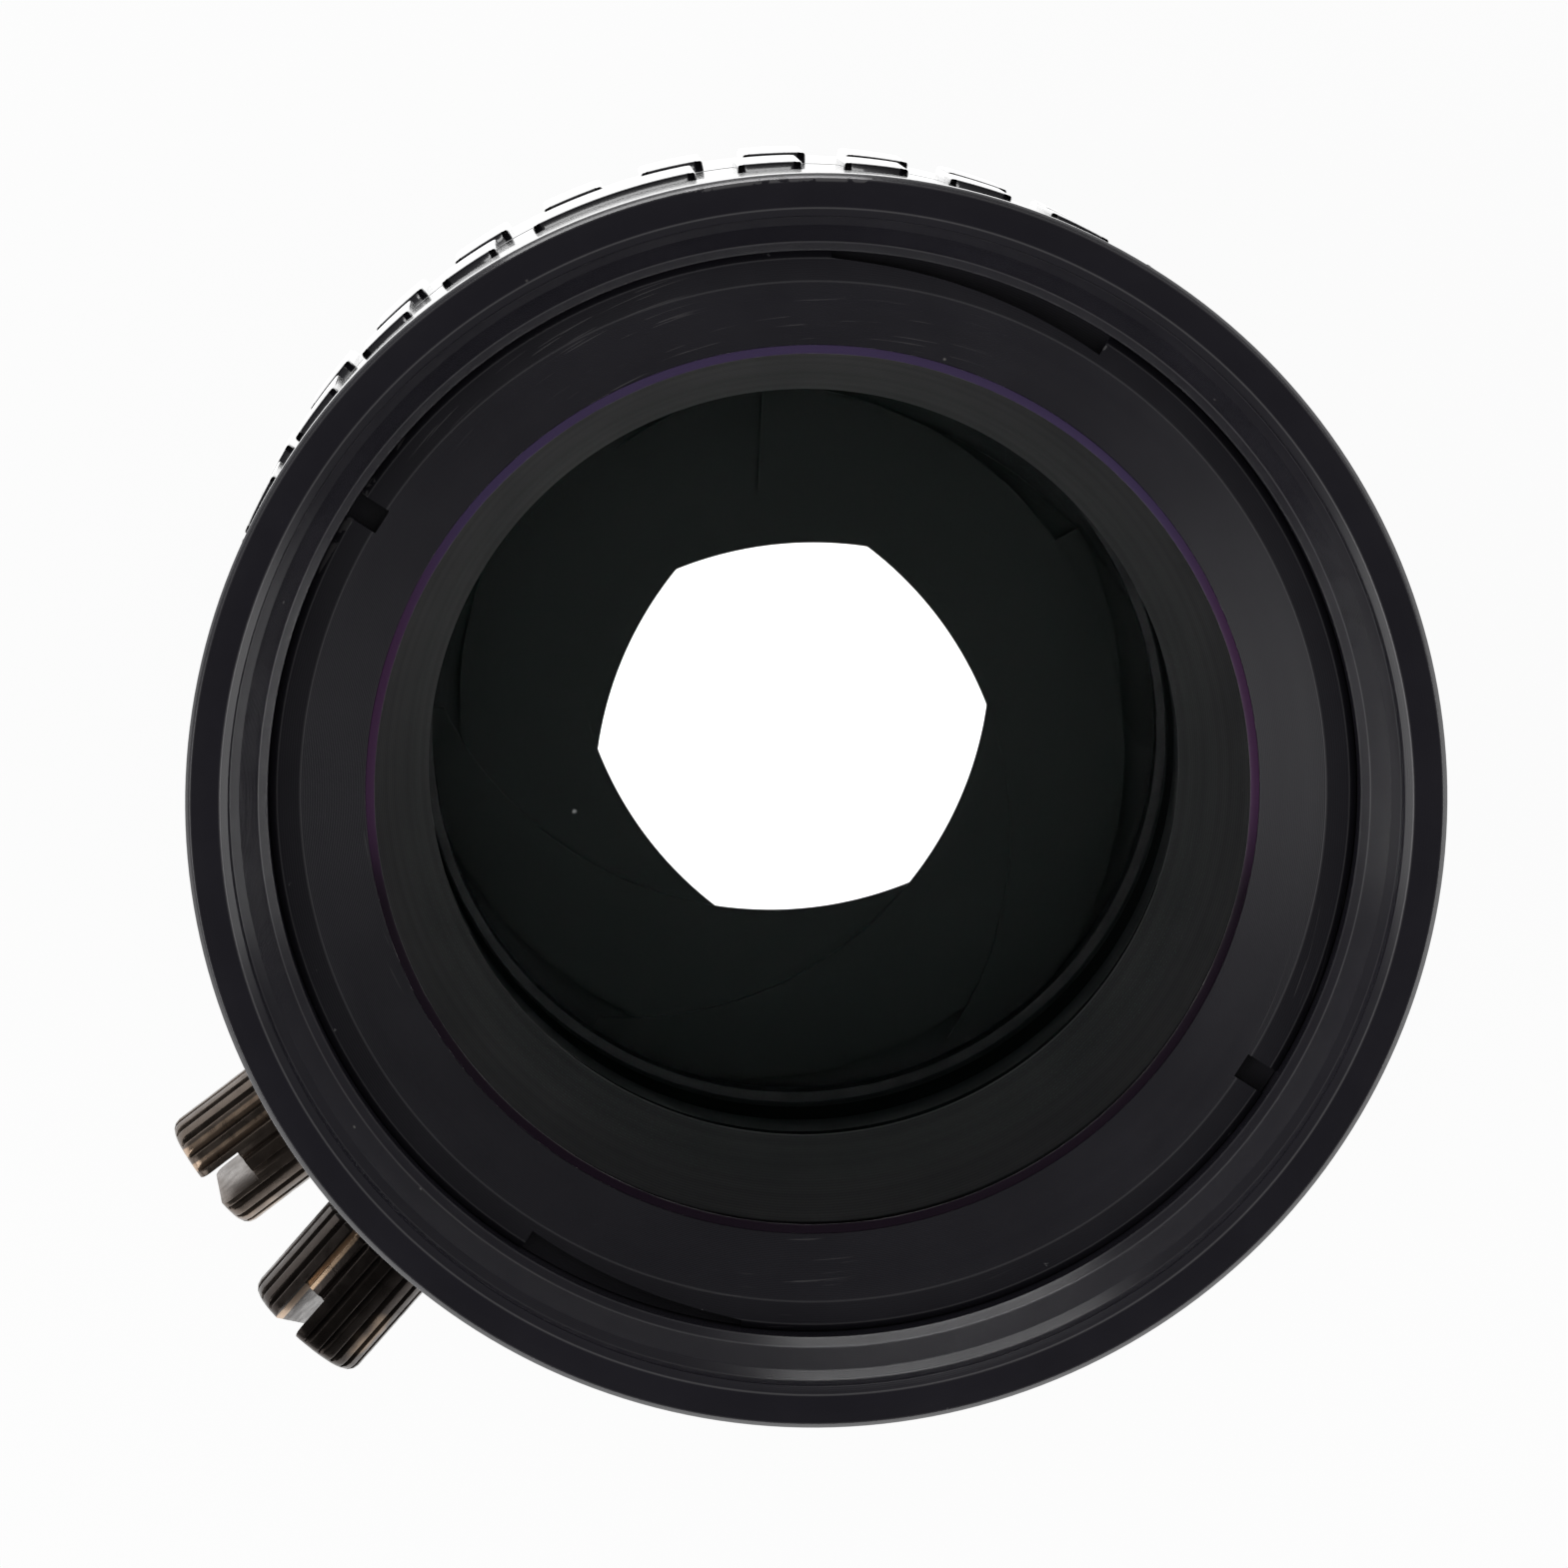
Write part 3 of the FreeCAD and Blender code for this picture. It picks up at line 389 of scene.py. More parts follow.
@dataclass(frozen=True)
class PlatedScrew:
    """Black nickel plating on brass, dark and brown, with a painted warm highlight in bands along the head's
    upper side.
    """

    name: str
    angle: float
    height: float
    highlight_ribs: tuple[PaintedHighlightRib, ...]
    colour: tuple[float, float, float]
    warm: tuple[float, float, float]
    roughness: float = 0.3

    def build(self) -> bpy.types.Material:
        """Make the material.

        Returns:
            The material.
        """
        tree = NodeTree(self.name)
        turn = math.radians(self.angle)
        side = tree.add("VectorMath", {"operation": "DOT_PRODUCT"})
        tree.feed(side.inputs[0], tree.place())
        side.inputs[1].default_value = (-math.sin(turn) / MM, math.cos(turn) / MM, 0)
        _, height = tree.radius_and_height()
        # painted highlight: only the head's upper side, which faces the light, gets the warm bands
        above = tree.span(height, self.height + 0.3, self.height + 0.9)
        cloud = tree.noise(420.0, 2.0)
        stain = tree.noise(2300.0, 3.0)
        # random warm tone of the plating; the painted highlight bands are added to it below
        warm_tone_and_highlight: object = tree.span(cloud, 0.58, 0.72, 0.0, 0.35)
        for rib in self.highlight_ribs:
            gap = tree.math("ABSOLUTE", tree.math("SUBTRACT", side.outputs["Value"], rib.beside))
            band = tree.math("MULTIPLY", tree.span(gap, rib.width * 0.62, rib.width * 0.42), above)
            # this rib's warm band, a painted highlight broken up by the stain noise
            rubbed = tree.math("MULTIPLY", band, tree.span(stain, 0.3, 0.45, 0.6, 1.0))
            warm_tone_and_highlight = tree.math("MAXIMUM", warm_tone_and_highlight, rubbed)
        colour = tree.blend(warm_tone_and_highlight, (*self.colour, 1.0), (*self.warm, 1.0))
        colour = tree.blend(tree.span(stain, 0.58, 0.8, 0.0, 0.35), colour, (0.03, 0.025, 0.022, 1.0))
        roughness = tree.math("ADD", self.roughness, tree.span(stain, 0.3, 0.75, -0.04, 0.12))
        normal = tree.bump(tree.noise(9000.0, 2.0), 0.000004)
        shader = tree.add("BsdfPrincipled", None, Base_Color=colour, Roughness=roughness, Normal=normal)
        shader.inputs["Metallic"].default_value = 0.9
        return tree.finish(shader.outputs[0])


@dataclass(frozen=True)
class CoatedGlass:
    """Lens glass whose thin coating tints what it mirrors."""

    name: str
    mirror: tuple[float, float, float]
    index: float
    dust: float = 0.0
    tint: tuple[float, float, float] = (1.0, 1.0, 1.0)

    def build(self) -> bpy.types.Material:
        """Make the material; lamps shine through it unbent.

        Returns:
            The material.
        """
        tree = NodeTree(self.name)
        shader = tree.add("BsdfPrincipled", None, Base_Color=(*self.tint, 1.0), Roughness=0.0, IOR=self.index)
        shader.inputs["Transmission Weight"].default_value = 1.0
        shader.inputs["Specular Tint"].default_value = (*self.mirror, 1.0)
        surface = shader.outputs[0]
        if self.dust:
            specks = tree.add("TexVoronoi", {"feature": "F1"}, Scale=420.0, Randomness=1.0)
            tree.feed(specks.inputs["Vector"], tree.place())
            chance = tree.add("SeparateColor", None, Color=specks.outputs["Color"]).outputs[0]
            speck = tree.math("MULTIPLY", tree.span(specks.outputs["Distance"], 0.05, 0.02),
                              tree.span(chance, 0.93, 0.94, 0.0, self.dust))
            mote = tree.add("BsdfDiffuse", None, Color=(0.35, 0.37, 0.36, 1.0))
            dusty = tree.add("MixShader")
            tree.feed(dusty.inputs[0], speck)
            tree.feed(dusty.inputs[1], surface)
            tree.feed(dusty.inputs[2], mote.outputs[0])
            surface = dusty.outputs[0]
        clear = tree.add("BsdfTransparent", None, Color=(*self.tint, 1.0))
        pick = tree.add("MixShader")
        tree.feed(pick.inputs[0], tree.add("LightPath").outputs["Is Shadow Ray"])
        tree.feed(pick.inputs[1], surface)
        tree.feed(pick.inputs[2], clear.outputs[0])
        return tree.finish(pick.outputs[0])


@dataclass(frozen=True)
class PaintedCoatingReflection:
    """A thin line painted with the coloured reflection of the coating at the ground rim of the glass, with
    painted shade on its half away from the light.
    """

    name: str = "coating_reflection_paint"
    # painted reflection colours: the lit middle, the ends at either side, and the painted shade of the −Y
    # half
    colour: tuple[float, float, float] = (0.074, 0.046, 0.135)
    side_reflection_colour: tuple[float, float, float] = (0.082, 0.026, 0.092)
    shaded_low_colour: tuple[float, float, float] = (0.016, 0.005, 0.018)
    roughness: float = 0.35

    def build(self) -> bpy.types.Material:
        """Make the material.

        Returns:
            The material.
        """
        tree = NodeTree(self.name)
        shift = tree.noise(130.0, 2.0)
        parts = tree.add("SeparateXYZ", None, Vector=tree.place())
        wavy = tree.math("ADD", parts.outputs["Y"], tree.math("MULTIPLY", shift, 0.002))
        # painted shade: the −Y half of the line, away from the light, gets a far darker colour
        lit_upper = tree.span(wavy, -0.0025, 0.001)
        # painted reflection: a more magenta tint towards the line's ends at either side
        colour = tree.blend(tree.span(tree.math("ABSOLUTE", parts.outputs["X"]), 0.010, 0.0134),
                            (*self.colour, 1.0), (*self.side_reflection_colour, 1.0))
        colour = tree.blend(lit_upper, (*self.shaded_low_colour, 1.0), colour)
        roughness = tree.math("ADD", self.roughness, tree.span(shift, 0.3, 0.7, 0.0, 0.1))
        shader = tree.add("BsdfPrincipled", None, Base_Color=colour, Roughness=roughness)
        return tree.finish(shader.outputs[0])


@dataclass(frozen=True)
class BladeSteel:
    """Thin blackened steel with faint rolling streaks."""

    name: str = "iris_blade_black"
    colour: tuple[float, float, float] = (0.0018, 0.0022, 0.0020)
    roughness: float = 0.5

    def build(self) -> bpy.types.Material:
        """Make the material.

        Returns:
            The material.
        """
        tree = NodeTree(self.name)
        stretch = tree.add("Mapping", None, Vector=tree.place())
        stretch.inputs["Scale"].default_value = (1.0, 14.0, 1.0)
        streak = tree.noise(500.0, 4.0, stretch.outputs[0])
        colour = tree.blend(tree.span(streak, 0.35, 0.75), (*self.colour, 1.0),
                            (*(1.8 * part for part in self.colour), 1.0))
        roughness = tree.math("ADD", self.roughness, tree.span(streak, 0.3, 0.75, -0.06, 0.08))
        shader = tree.add("BsdfPrincipled", None, Base_Color=colour, Roughness=roughness,
                          Normal=tree.bump(streak, 0.000003))
        shader.inputs["Specular IOR Level"].default_value = 0.2
        return tree.finish(shader.outputs[0])


@dataclass(frozen=True)
class PlainMetal:
    """Turned or ground metal for inner parts."""

    name: str
    colour: tuple[float, float, float]
    roughness: float = 0.3
    metallic: float = 1.0

    def build(self) -> bpy.types.Material:
        """Make the material.

        Returns:
            The material.
        """
        tree = NodeTree(self.name)
        mottled = tree.noise(900.0, 3.0)
        colour = tree.blend(tree.span(mottled, 0.3, 0.75), (*self.colour, 1.0),
                            (*(0.7 * part for part in self.colour), 1.0))
        roughness = tree.math("ADD", self.roughness, tree.span(mottled, 0.3, 0.7, -0.05, 0.1))
        shader = tree.add("BsdfPrincipled", None, Base_Color=colour, Roughness=roughness,
                          Normal=tree.bump(tree.noise(7000.0, 2.0), 0.000003))
        shader.inputs["Metallic"].default_value = self.metallic
        return tree.finish(shader.outputs[0])


@dataclass
class Paintbox:
    """Every finish of the lens, made once."""

    rim_height: float
    black: bpy.types.Material = field(init=False)
    grip: bpy.types.Material = field(init=False)
    ring: bpy.types.Material = field(init=False)
    matte: bpy.types.Material = field(init=False)
    front_glass: bpy.types.Material = field(init=False)
    inner_glass: bpy.types.Material = field(init=False)
    rear_glass: bpy.types.Material = field(init=False)
    # the painted coating reflection, with painted shade on its −Y half
    coating: bpy.types.Material = field(init=False)
    focus_nickel: bpy.types.Material = field(init=False)
    iris_nickel: bpy.types.Material = field(init=False)
    brass: bpy.types.Material = field(init=False)
    steel: bpy.types.Material = field(init=False)
    blade: bpy.types.Material = field(init=False)
    nylon: bpy.types.Material = field(init=False)

    def __post_init__(self) -> None:
        """Build the materials."""
        rim = self.rim_height
        face = rim - 3.0
        tube_edges = (
            WornEdge(18.85, rim, 0.05, 0.16, chips=0.35),
            WornEdge(17.96, rim, 0.055, 0.28),
            WornEdge(17.71, rim - 0.95, 0.05, 0.2),
            WornEdge(16.87, rim - 2.0, 0.05, 0.25),
            WornEdge(16.61, rim - 2.23, 0.05, 0.2),
        )
        ring_edges = (
            WornEdge(16.35, face, 0.05, 0.2),
            WornEdge(15.64, face, 0.05, 0.14),
            WornEdge(16.33, face, 0.14, 0.0, 0.9, 147.4, 0.0013),
        )
        # painted highlight: a thin bare-metal line on the front spacer's exit edge, where the edge catches
        # light
        spacer_edge_highlight = (WornEdge(11.76, rim - 11.75, 0.12, 0.10),)
        self.black = Anodised("front_barrel_black", (0.0205, 0.0191, 0.0254), 0.22, turning=0.25, grain=0.25,
                              dust=0.9, seal=0.6, seal_from=18.7, worn=tube_edges).build()
        self.grip = Anodised("grip_ring_black", (0.0145, 0.0136, 0.0178), 0.16, turning=0.15, grain=0.1,
                             dust=0.15, seal=0.7).build()
        self.ring = Anodised("retaining_ring_black", (0.0245, 0.0230, 0.0302), 0.4, turning=0.6,
                             turning_pitch=0.07, dust=0.9, scratched=0.8, worn=ring_edges).build()
        self.matte = Anodised("inner_black", (0.0052, 0.0054, 0.0062), 0.6, turning=0.6, turning_pitch=0.2,
                              dust=0.1, specular=0.25, worn=spacer_edge_highlight).build()
        self.front_glass = CoatedGlass("front_glass_coated", (0.35, 0.8, 0.62), 1.08, dust=0.6).build()
        self.inner_glass = CoatedGlass("inner_glass_coated", (0.3, 0.75, 0.7), 1.05).build()
        self.rear_glass = CoatedGlass("rear_glass_coated", (0.7, 0.55, 0.95), 1.05).build()
        # painted coating reflection, shaded on its −Y half
        self.coating = PaintedCoatingReflection().build()
        # each screw's warm bands are painted highlights on the upper side of its head
        self.focus_nickel = PlatedScrew("focus_screw_plating", *FOCUS_LOCK, (PaintedHighlightRib(-0.92, 0.26),),
                                        (0.055, 0.045, 0.040), (0.50, 0.355, 0.24)).build()
        self.iris_nickel = PlatedScrew("iris_screw_plating", *IRIS_LOCK,
                                       (PaintedHighlightRib(-1.2, 0.26), PaintedHighlightRib(-0.66, 0.26)),
                                       (0.125, 0.100, 0.083), (0.46, 0.34, 0.25)).build()
        self.brass = PlainMetal("helicoid_brass_turned", (0.72, 0.52, 0.26)).build()
        self.steel = PlainMetal("cam_steel_blackened", (0.05, 0.05, 0.052), 0.38).build()
        self.blade = BladeSteel().build()
        self.nylon = PlainMetal("pad_nylon_moulded", (0.75, 0.74, 0.7), 0.5, 0.0).build()


@dataclass(frozen=True)
class Corner:
    """A corner of a half section, in millimetres, with the radius it is rounded to."""

    radius: float
    height: float
    rounding: float = 0.0


def smoothed(corners: list[Corner], steps: int = 4) -> list[tuple[float, float]]:
    """Round the corners of a closed half section.

    Args:
        corners: the section's corners in order.
        steps: how many chords an arc has.

    Returns:
        The section's points as (radius, height) pairs.
    """
    points: list[tuple[float, float]] = []
    for index, corner in enumerate(corners):
        here = Vector((corner.radius, corner.height))
        back_corner, next_corner = corners[index - 1], corners[(index + 1) % len(corners)]
        back = Vector((back_corner.radius, back_corner.height)) - here
        ahead = Vector((next_corner.radius, next_corner.height)) - here
        if corner.rounding <= 0 or back.length == 0 or ahead.length == 0:
            points.append((here.x, here.y))
            continue
        half = back.angle(ahead) / 2
        away = min(corner.rounding / math.tan(half), 0.45 * back.length, 0.45 * ahead.length)
        start, end = here + back.normalized() * away, here + ahead.normalized() * away
        for step in range(steps + 1):
            part = step / steps
            bend = start.lerp(here, part).lerp(here.lerp(end, part), part)
            points.append((bend.x, bend.y))
    return points


class Shape:
    """A mesh under construction, in millimetres."""

    steps = 240

    def __init__(self, name: str) -> None:
        """Start an empty mesh for a piece of this name."""
        self.name = name
        self.mesh = bmesh.new()

    def spin(self, points: list[tuple[float, float]], closed: bool = True,
             steps: int | None = None) -> "Shape":
        """Turn a half section about Z and add it.

        Args:
            points: the section as (radius, height) pairs; a pair on the axis makes a pole.
            closed: whether the last point joins the first.
            steps: how many steps a full turn has.

        Returns:
            This shape.
        """
        verts = [self.mesh.verts.new((radius, 0.0, height)) for radius, height in points]
        edges = [self.mesh.edges.new((verts[i], verts[i + 1])) for i in range(len(verts) - 1)]
        if closed:
            edges.append(self.mesh.edges.new((verts[-1], verts[0])))
        before = set(self.mesh.faces)
        bmesh.ops.spin(self.mesh, geom=verts + edges, cent=(0, 0, 0), axis=(0, 0, 1), angle=FULL_TURN,
                       steps=steps or self.steps, use_merge=True, use_duplicate=False)
        made = [face for face in self.mesh.faces if face not in before]
        touched = list({vert for face in made for vert in face.verts})
        bmesh.ops.remove_doubles(self.mesh, verts=touched, dist=MERGE_DISTANCE)
        made = [face for face in self.mesh.faces if face not in before]
        bmesh.ops.recalc_face_normals(self.mesh, faces=made)
        return self

    def add(self, other: "Shape") -> "Shape":
        """Add another shape's mesh to this one.

        Args:
            other: the shape, which is used up.

        Returns:
            This shape.
        """
        spare = bpy.data.meshes.new("spare")
        other.mesh.to_mesh(spare)
        self.mesh.from_mesh(spare)
        bpy.data.meshes.remove(spare)
        other.mesh.free()
        return self

    def transform(self, matrix: Matrix) -> "Shape":
        """Move, turn or scale the whole mesh."""
        bmesh.ops.transform(self.mesh, matrix=matrix, verts=self.mesh.verts)
        return self

    def to_object(self) -> bpy.types.Object:
        """Finish the mesh, in metres.

        Returns:
            Its object, linked to the scene.
        """
        bmesh.ops.transform(self.mesh, matrix=Matrix.Scale(MM, 4), verts=self.mesh.verts)
        data = bpy.data.meshes.new(self.name)
        self.mesh.to_mesh(data)
        self.mesh.free()
        made = bpy.data.objects.new(self.name, data)
        bpy.context.scene.collection.objects.link(made)
        return made


def cut_away(piece: bpy.types.Object, cutters: list[Shape], crossing: bool = False) -> bpy.types.Object:
    """Cut shapes out of a finished object and apply the cuts.

    Args:
        piece: the object to cut.
        cutters: what to take away.
        crossing: whether the object's own shells run through each other.

    Returns:
        The same object.
    """
    for cutter in cutters:
        tool = cutter.to_object()
        cut = piece.modifiers.new("cut", "BOOLEAN")
        cut.operation = "DIFFERENCE"
        cut.solver = "EXACT"
        cut.use_self = crossing
        cut.object = tool
        graph = bpy.context.evaluated_depsgraph_get()
        result = bpy.data.meshes.new_from_object(piece.evaluated_get(graph))
        piece.modifiers.remove(cut)
        old = piece.data
        piece.data = result
        result.name = piece.name
        bpy.data.meshes.remove(old)
        bpy.data.objects.remove(tool)
    return piece


def block(name: str, low: Vector, high: Vector) -> Shape:
    """Make a plain block.

    Args:
        name: its name.
        low: its lowest corner.
        high: its highest corner.

    Returns:
        The block.
    """
    shape = Shape(name)
    bmesh.ops.create_cube(shape.mesh, size=1.0)
    size = high - low
    shape.transform(Matrix.Translation((low + high) / 2) @ Matrix.Diagonal((*size, 1.0)))
    return shape


def round_hole(radius: float, angle: float, height: float, start: float, end: float) -> Shape:
    """Make a round rod that points away from the axis, for cutting with.

    Args:
        radius: its radius.
        angle: its direction from the axis, in degrees.
        height: its height over the seat.
        start: how far from the axis it starts.
        end: how far from the axis it ends.

    Returns:
        The rod.
    """
    hole = Shape("hole")
    bmesh.ops.create_cone(hole.mesh, cap_ends=True, segments=48, radius1=radius, radius2=radius,
                          depth=end - start)
    lay = Matrix.Translation(((start + end) / 2, 0, height)) @ Matrix.Rotation(math.pi / 2, 4, "Y")
    return hole.transform(Matrix.Rotation(math.radians(angle), 4, "Z") @ lay)


def dressed(piece: bpy.types.Object, body: Body | str, material: bpy.types.Material,
            replaces: tuple[str, ...] = (), sharp: float = 38.0, weighted: bool = True) -> bpy.types.Object:
    """Shade a piece, give it its material and put it on its body.

    Args:
        piece: the object.
        body: the body that it rides on.
        material: its finish.
        replaces: the nodes that it stands for.
        sharp: the angle in degrees above which an edge stays sharp.
        weighted: whether large faces keep flat shading beside small bevels.

    Returns:
        The same object.
    """
    data = piece.data
    data.materials.clear()
    data.materials.append(material)
    data.polygons.foreach_set("use_smooth", [True] * len(data.polygons))
    data.set_sharp_from_angle(angle=math.radians(sharp))
    if weighted:
        normals = piece.modifiers.new("weighted_normals", "WEIGHTED_NORMAL")
        normals.keep_sharp = True
    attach(piece, body.value if isinstance(body, Body) else body)
    if replaces:
        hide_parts(*replaces)
    LOG.info("piece %s: %d faces on %s", piece.name, len(data.polygons), body)
    return piece


def span_of(node: str) -> tuple[float, float]:
    """A node's lowest and highest height, in millimetres."""
    low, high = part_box(node)
    return low.z / MM, high.z / MM


@dataclass
class FrontBarrel:
    """The front tube: rim, filter thread, sloping floor and the bore of the retaining ring."""

    paint: Paintbox
    strip_radius: float = 18.87
    rim_radius: float = 19.0
    rim_band: float = 1.0
    rim_chamfer: float = 0.15
    thread_radius: float = 17.70
    thread_depth: float = 1.2
    thread_pitch: float = 0.5
    thread_height: float = 0.24
    floor_drop: float = 0.8
    bore_radius: float = 16.60
    bore_edge: float = 0.28
    cone_angle: float = 45.0
    sleeve_radius: float = 15.52

    def section(self) -> list[tuple[float, float]]:
        """Draw the half section, with the filter thread's crests.

        Returns:
            The section's points.
        """
        bottom, rim = span_of("front_barrel")
        seat = span_of("optics_barrel")[1]
        floor = rim - self.thread_depth
        edge = floor - self.floor_drop
        fall = self.bore_edge * math.tan(math.radians(self.cone_angle))
        corners = [
            Corner(self.sleeve_radius, bottom, 0.05),
            Corner(self.strip_radius, bottom, 0.18),
            Corner(self.strip_radius, rim - self.rim_band - 0.13, 0.04),
            Corner(self.rim_radius, rim - self.rim_band, 0.05),
            Corner(self.rim_radius, rim - self.rim_chamfer, 0.03),
            Corner(self.rim_radius - self.rim_chamfer, rim, 0.03),
            Corner(self.thread_radius + 0.27, rim, 0.03),
            Corner(self.thread_radius + 0.03, rim - 0.2, 0.01),
        ]
        height = rim - 0.28
        while height > floor + fall + 0.3:
            corners += [
                Corner(self.thread_radius, height, 0.012),
                Corner(self.thread_radius + self.thread_height, height - self.thread_pitch / 2, 0.03),
            ]
            height -= self.thread_pitch
        corners += [
            Corner(self.thread_radius, floor + fall, 0.03),
            Corner(self.thread_radius - self.bore_edge, floor, 0.05),
            Corner(self.bore_radius + self.bore_edge, edge, 0.05),
            Corner(self.bore_radius, edge - fall, 0.04),
            Corner(self.bore_radius, seat),
            Corner(self.sleeve_radius, seat),
        ]
        return smoothed(corners)

    def build(self) -> None:
        """Make the tube."""
        tube = Shape("front_tube").spin(self.section()).to_object()
        dressed(tube, Body.LENS_UNIT, self.paint.black, ("front_barrel",), sharp=13.0)


@dataclass
class FrontRetainer:
    """The ring that clamps the front glass: flat face, spanner slots and sloping inner face."""

    paint: Paintbox
    outer_radius: float = 16.58
    chamfer: float = 0.23
    face_width: float = 0.71
    lip_radius: float = 13.68
    lip: float = 0.25
    slot_width: float = 0.8
    slot_depth: float = 0.5
    slot_angle: float = 147.4
    cut_angle: float = 57.2
    cut_width: float = 31.0
    cut_depth: float = 0.42
    cut_drop: float = 0.45
    cut_steps: int = 40

    def build(self) -> None:
        """Make the ring."""
        bottom, face = span_of("front_retaining_ring")
        flat = self.outer_radius - self.chamfer
        cone = flat - self.face_width
        ring = Shape("glass_clamp_ring").spin(smoothed([
            Corner(self.lip_radius, bottom),
            Corner(self.outer_radius, bottom),
            Corner(self.outer_radius, face - self.chamfer, 0.03),
            Corner(flat, face, 0.04),
            Corner(cone, face, 0.04),
            Corner(self.lip_radius, bottom + self.lip, 0.03),
        ])).to_object()
        cutters = []
        for turn in (0.0, 180.0):
            slot = block("slot", Vector((cone - 0.1, -self.slot_width / 2, face - self.slot_depth)),
                         Vector((self.outer_radius + 1, self.slot_width / 2, face + 1)))
            cutters.append(slot.transform(Matrix.Rotation(math.radians(self.slot_angle + turn), 4, "Z")))
            cutters.append(self.crescent(self.cut_angle + turn, self.cut_width - turn / 30, face))
        cut_away(ring, cutters)
        dressed(ring, Body.LENS_UNIT, self.paint.ring, ("front_retaining_ring",))

    def crescent(self, start: float, width: float, face: float) -> Shape:
        """Make a thin wedge that deepens towards one end, for cutting into the ring's outer edge.

        Args:
            start: where its deep end is, in degrees.
            width: how many degrees it covers.
            face: the height of the ring's face.

        Returns:
            The wedge.
        """
        shape = Shape("crescent")
        steps = self.cut_steps
        inside = [self.outer_radius - self.chamfer - self.cut_depth * (1 - step / steps) ** 0.8
                  for step in range(steps + 1)]
        outside = [self.outer_radius + 0.5] * (steps + 1)
        outline = []
        for reaches, order in ((inside, range(steps + 1)), (outside, range(steps, -1, -1))):
            for step in order:
                turn = math.radians(start + width * step / steps)
                outline.append(Vector((reaches[step] * math.cos(turn), reaches[step] * math.sin(turn),
                                       face - self.cut_drop)))
        base = shape.mesh.faces.new([shape.mesh.verts.new(point) for point in outline])
        grown = bmesh.ops.extrude_face_region(shape.mesh, geom=[base])["geom"]
        rising = [item for item in grown if isinstance(item, bmesh.types.BMVert)]
        bmesh.ops.translate(shape.mesh, vec=(0, 0, self.cut_drop + 0.5), verts=rising)
        bmesh.ops.recalc_face_normals(shape.mesh, faces=shape.mesh.faces)
        return shape


@dataclass
class GripRing:
    """A turning ring with a row of raised rectangular grip pads."""

    paint: Paintbox
    node: str
    body: Body
    pads_top: float
    phase: float
    lock: tuple[float, float]
    joined_pad: int | None = None
    lock_radius: float = 1.04
    floor_radius: float = 18.73
    bore_radius: float = 17.0
    counterbore: tuple[float, float] | None = None
    pad_height: float = 0.32
    pad_length: float = 6.7
    pad_pitch: float = 10.0
    pad_width: float = 6.1
    pad_corner: float = 0.34
    pad_edge: float = 0.07
    pad_lean: float = 0.56
    pad_sink: float = 0.25

    def band(self) -> Shape:
        """Turn the band under the pads.

        Returns:
            The band.
        """
        low, high = span_of(self.node)
        corners = [Corner(self.bore_radius, low, 0.05), Corner(self.floor_radius, low, 0.16),
                   Corner(self.floor_radius, high, 0.16)]
        if self.counterbore is None:
            corners.append(Corner(self.bore_radius, high, 0.05))
        else:
            radius, step = self.counterbore
            corners += [Corner(radius, high, 0.05), Corner(radius, step), Corner(self.bore_radius, step)]
        return Shape(self.node + "_grip").spin(smoothed(corners))

    def pad(self, angle: float, width: float) -> Shape:
        """Make one pad, bent round the band.

        Args:
            angle: where its middle is, in degrees.
            width: how many degrees it covers.

        Returns:
            The pad.
        """
        shape = Shape("pad")
        arc = math.radians(width) * self.floor_radius
        thick = self.pad_height + self.pad_sink
        bmesh.ops.create_cube(shape.mesh, size=1.0)
        shape.transform(Matrix.Diagonal((arc, self.pad_length, thick, 1.0)))
        mesh = shape.mesh
        upright = [edge for edge in mesh.edges if abs(edge.verts[0].co.z - edge.verts[1].co.z) > 0.1]
        bmesh.ops.bevel(mesh, geom=upright, offset=self.pad_corner, affect="EDGES", segments=4, profile=0.5,
                        material=-1)
        top = [edge for edge in mesh.edges if min(vert.co.z for vert in edge.verts) > 0.1]
        bmesh.ops.bevel(mesh, geom=top, offset=self.pad_edge, affect="EDGES", segments=2, profile=0.5,
                        material=-1)
        pieces = max(4, round(width))
        for number in range(1, pieces):
            across = arc * (number / pieces - 0.5)
            geometry = mesh.verts[:] + mesh.edges[:] + mesh.faces[:]
            bmesh.ops.bisect_plane(mesh, geom=geometry, dist=1e-6, plane_co=(across, 0, 0),
                                   plane_no=(1, 0, 0))
        middle = self.pads_top - self.pad_length / 2
        lift = self.floor_radius - self.pad_sink + thick / 2
        for vert in mesh.verts:
            if vert.co.y > self.pad_length / 2 - 0.15 and vert.co.z > 0.1:
                vert.co.y -= self.pad_lean
            turn = math.radians(angle) + vert.co.x / self.floor_radius
            out = lift + vert.co.z
            vert.co = Vector((out * math.cos(turn), out * math.sin(turn), middle + vert.co.y))
        bmesh.ops.recalc_face_normals(mesh, faces=mesh.faces)
        return shape

    def build(self) -> None:
        """Make the ring with its pads."""
        ring = self.band()
        count = round(360 / self.pad_pitch)
        for number in range(count):
            middle = self.phase + number * self.pad_pitch
            if self.joined_pad is not None and number == self.joined_pad:
                ring.add(self.pad(middle + self.pad_pitch / 2, self.pad_width + self.pad_pitch))
            elif self.joined_pad is None or number != self.joined_pad + 1:
                ring.add(self.pad(middle, self.pad_width))
        hole = round_hole(self.lock_radius, *self.lock, self.bore_radius - 1, self.floor_radius + 2.27)
        piece = cut_away(ring.to_object(), [hole], crossing=True)
        dressed(piece, self.body, self.paint.grip, (self.node,))


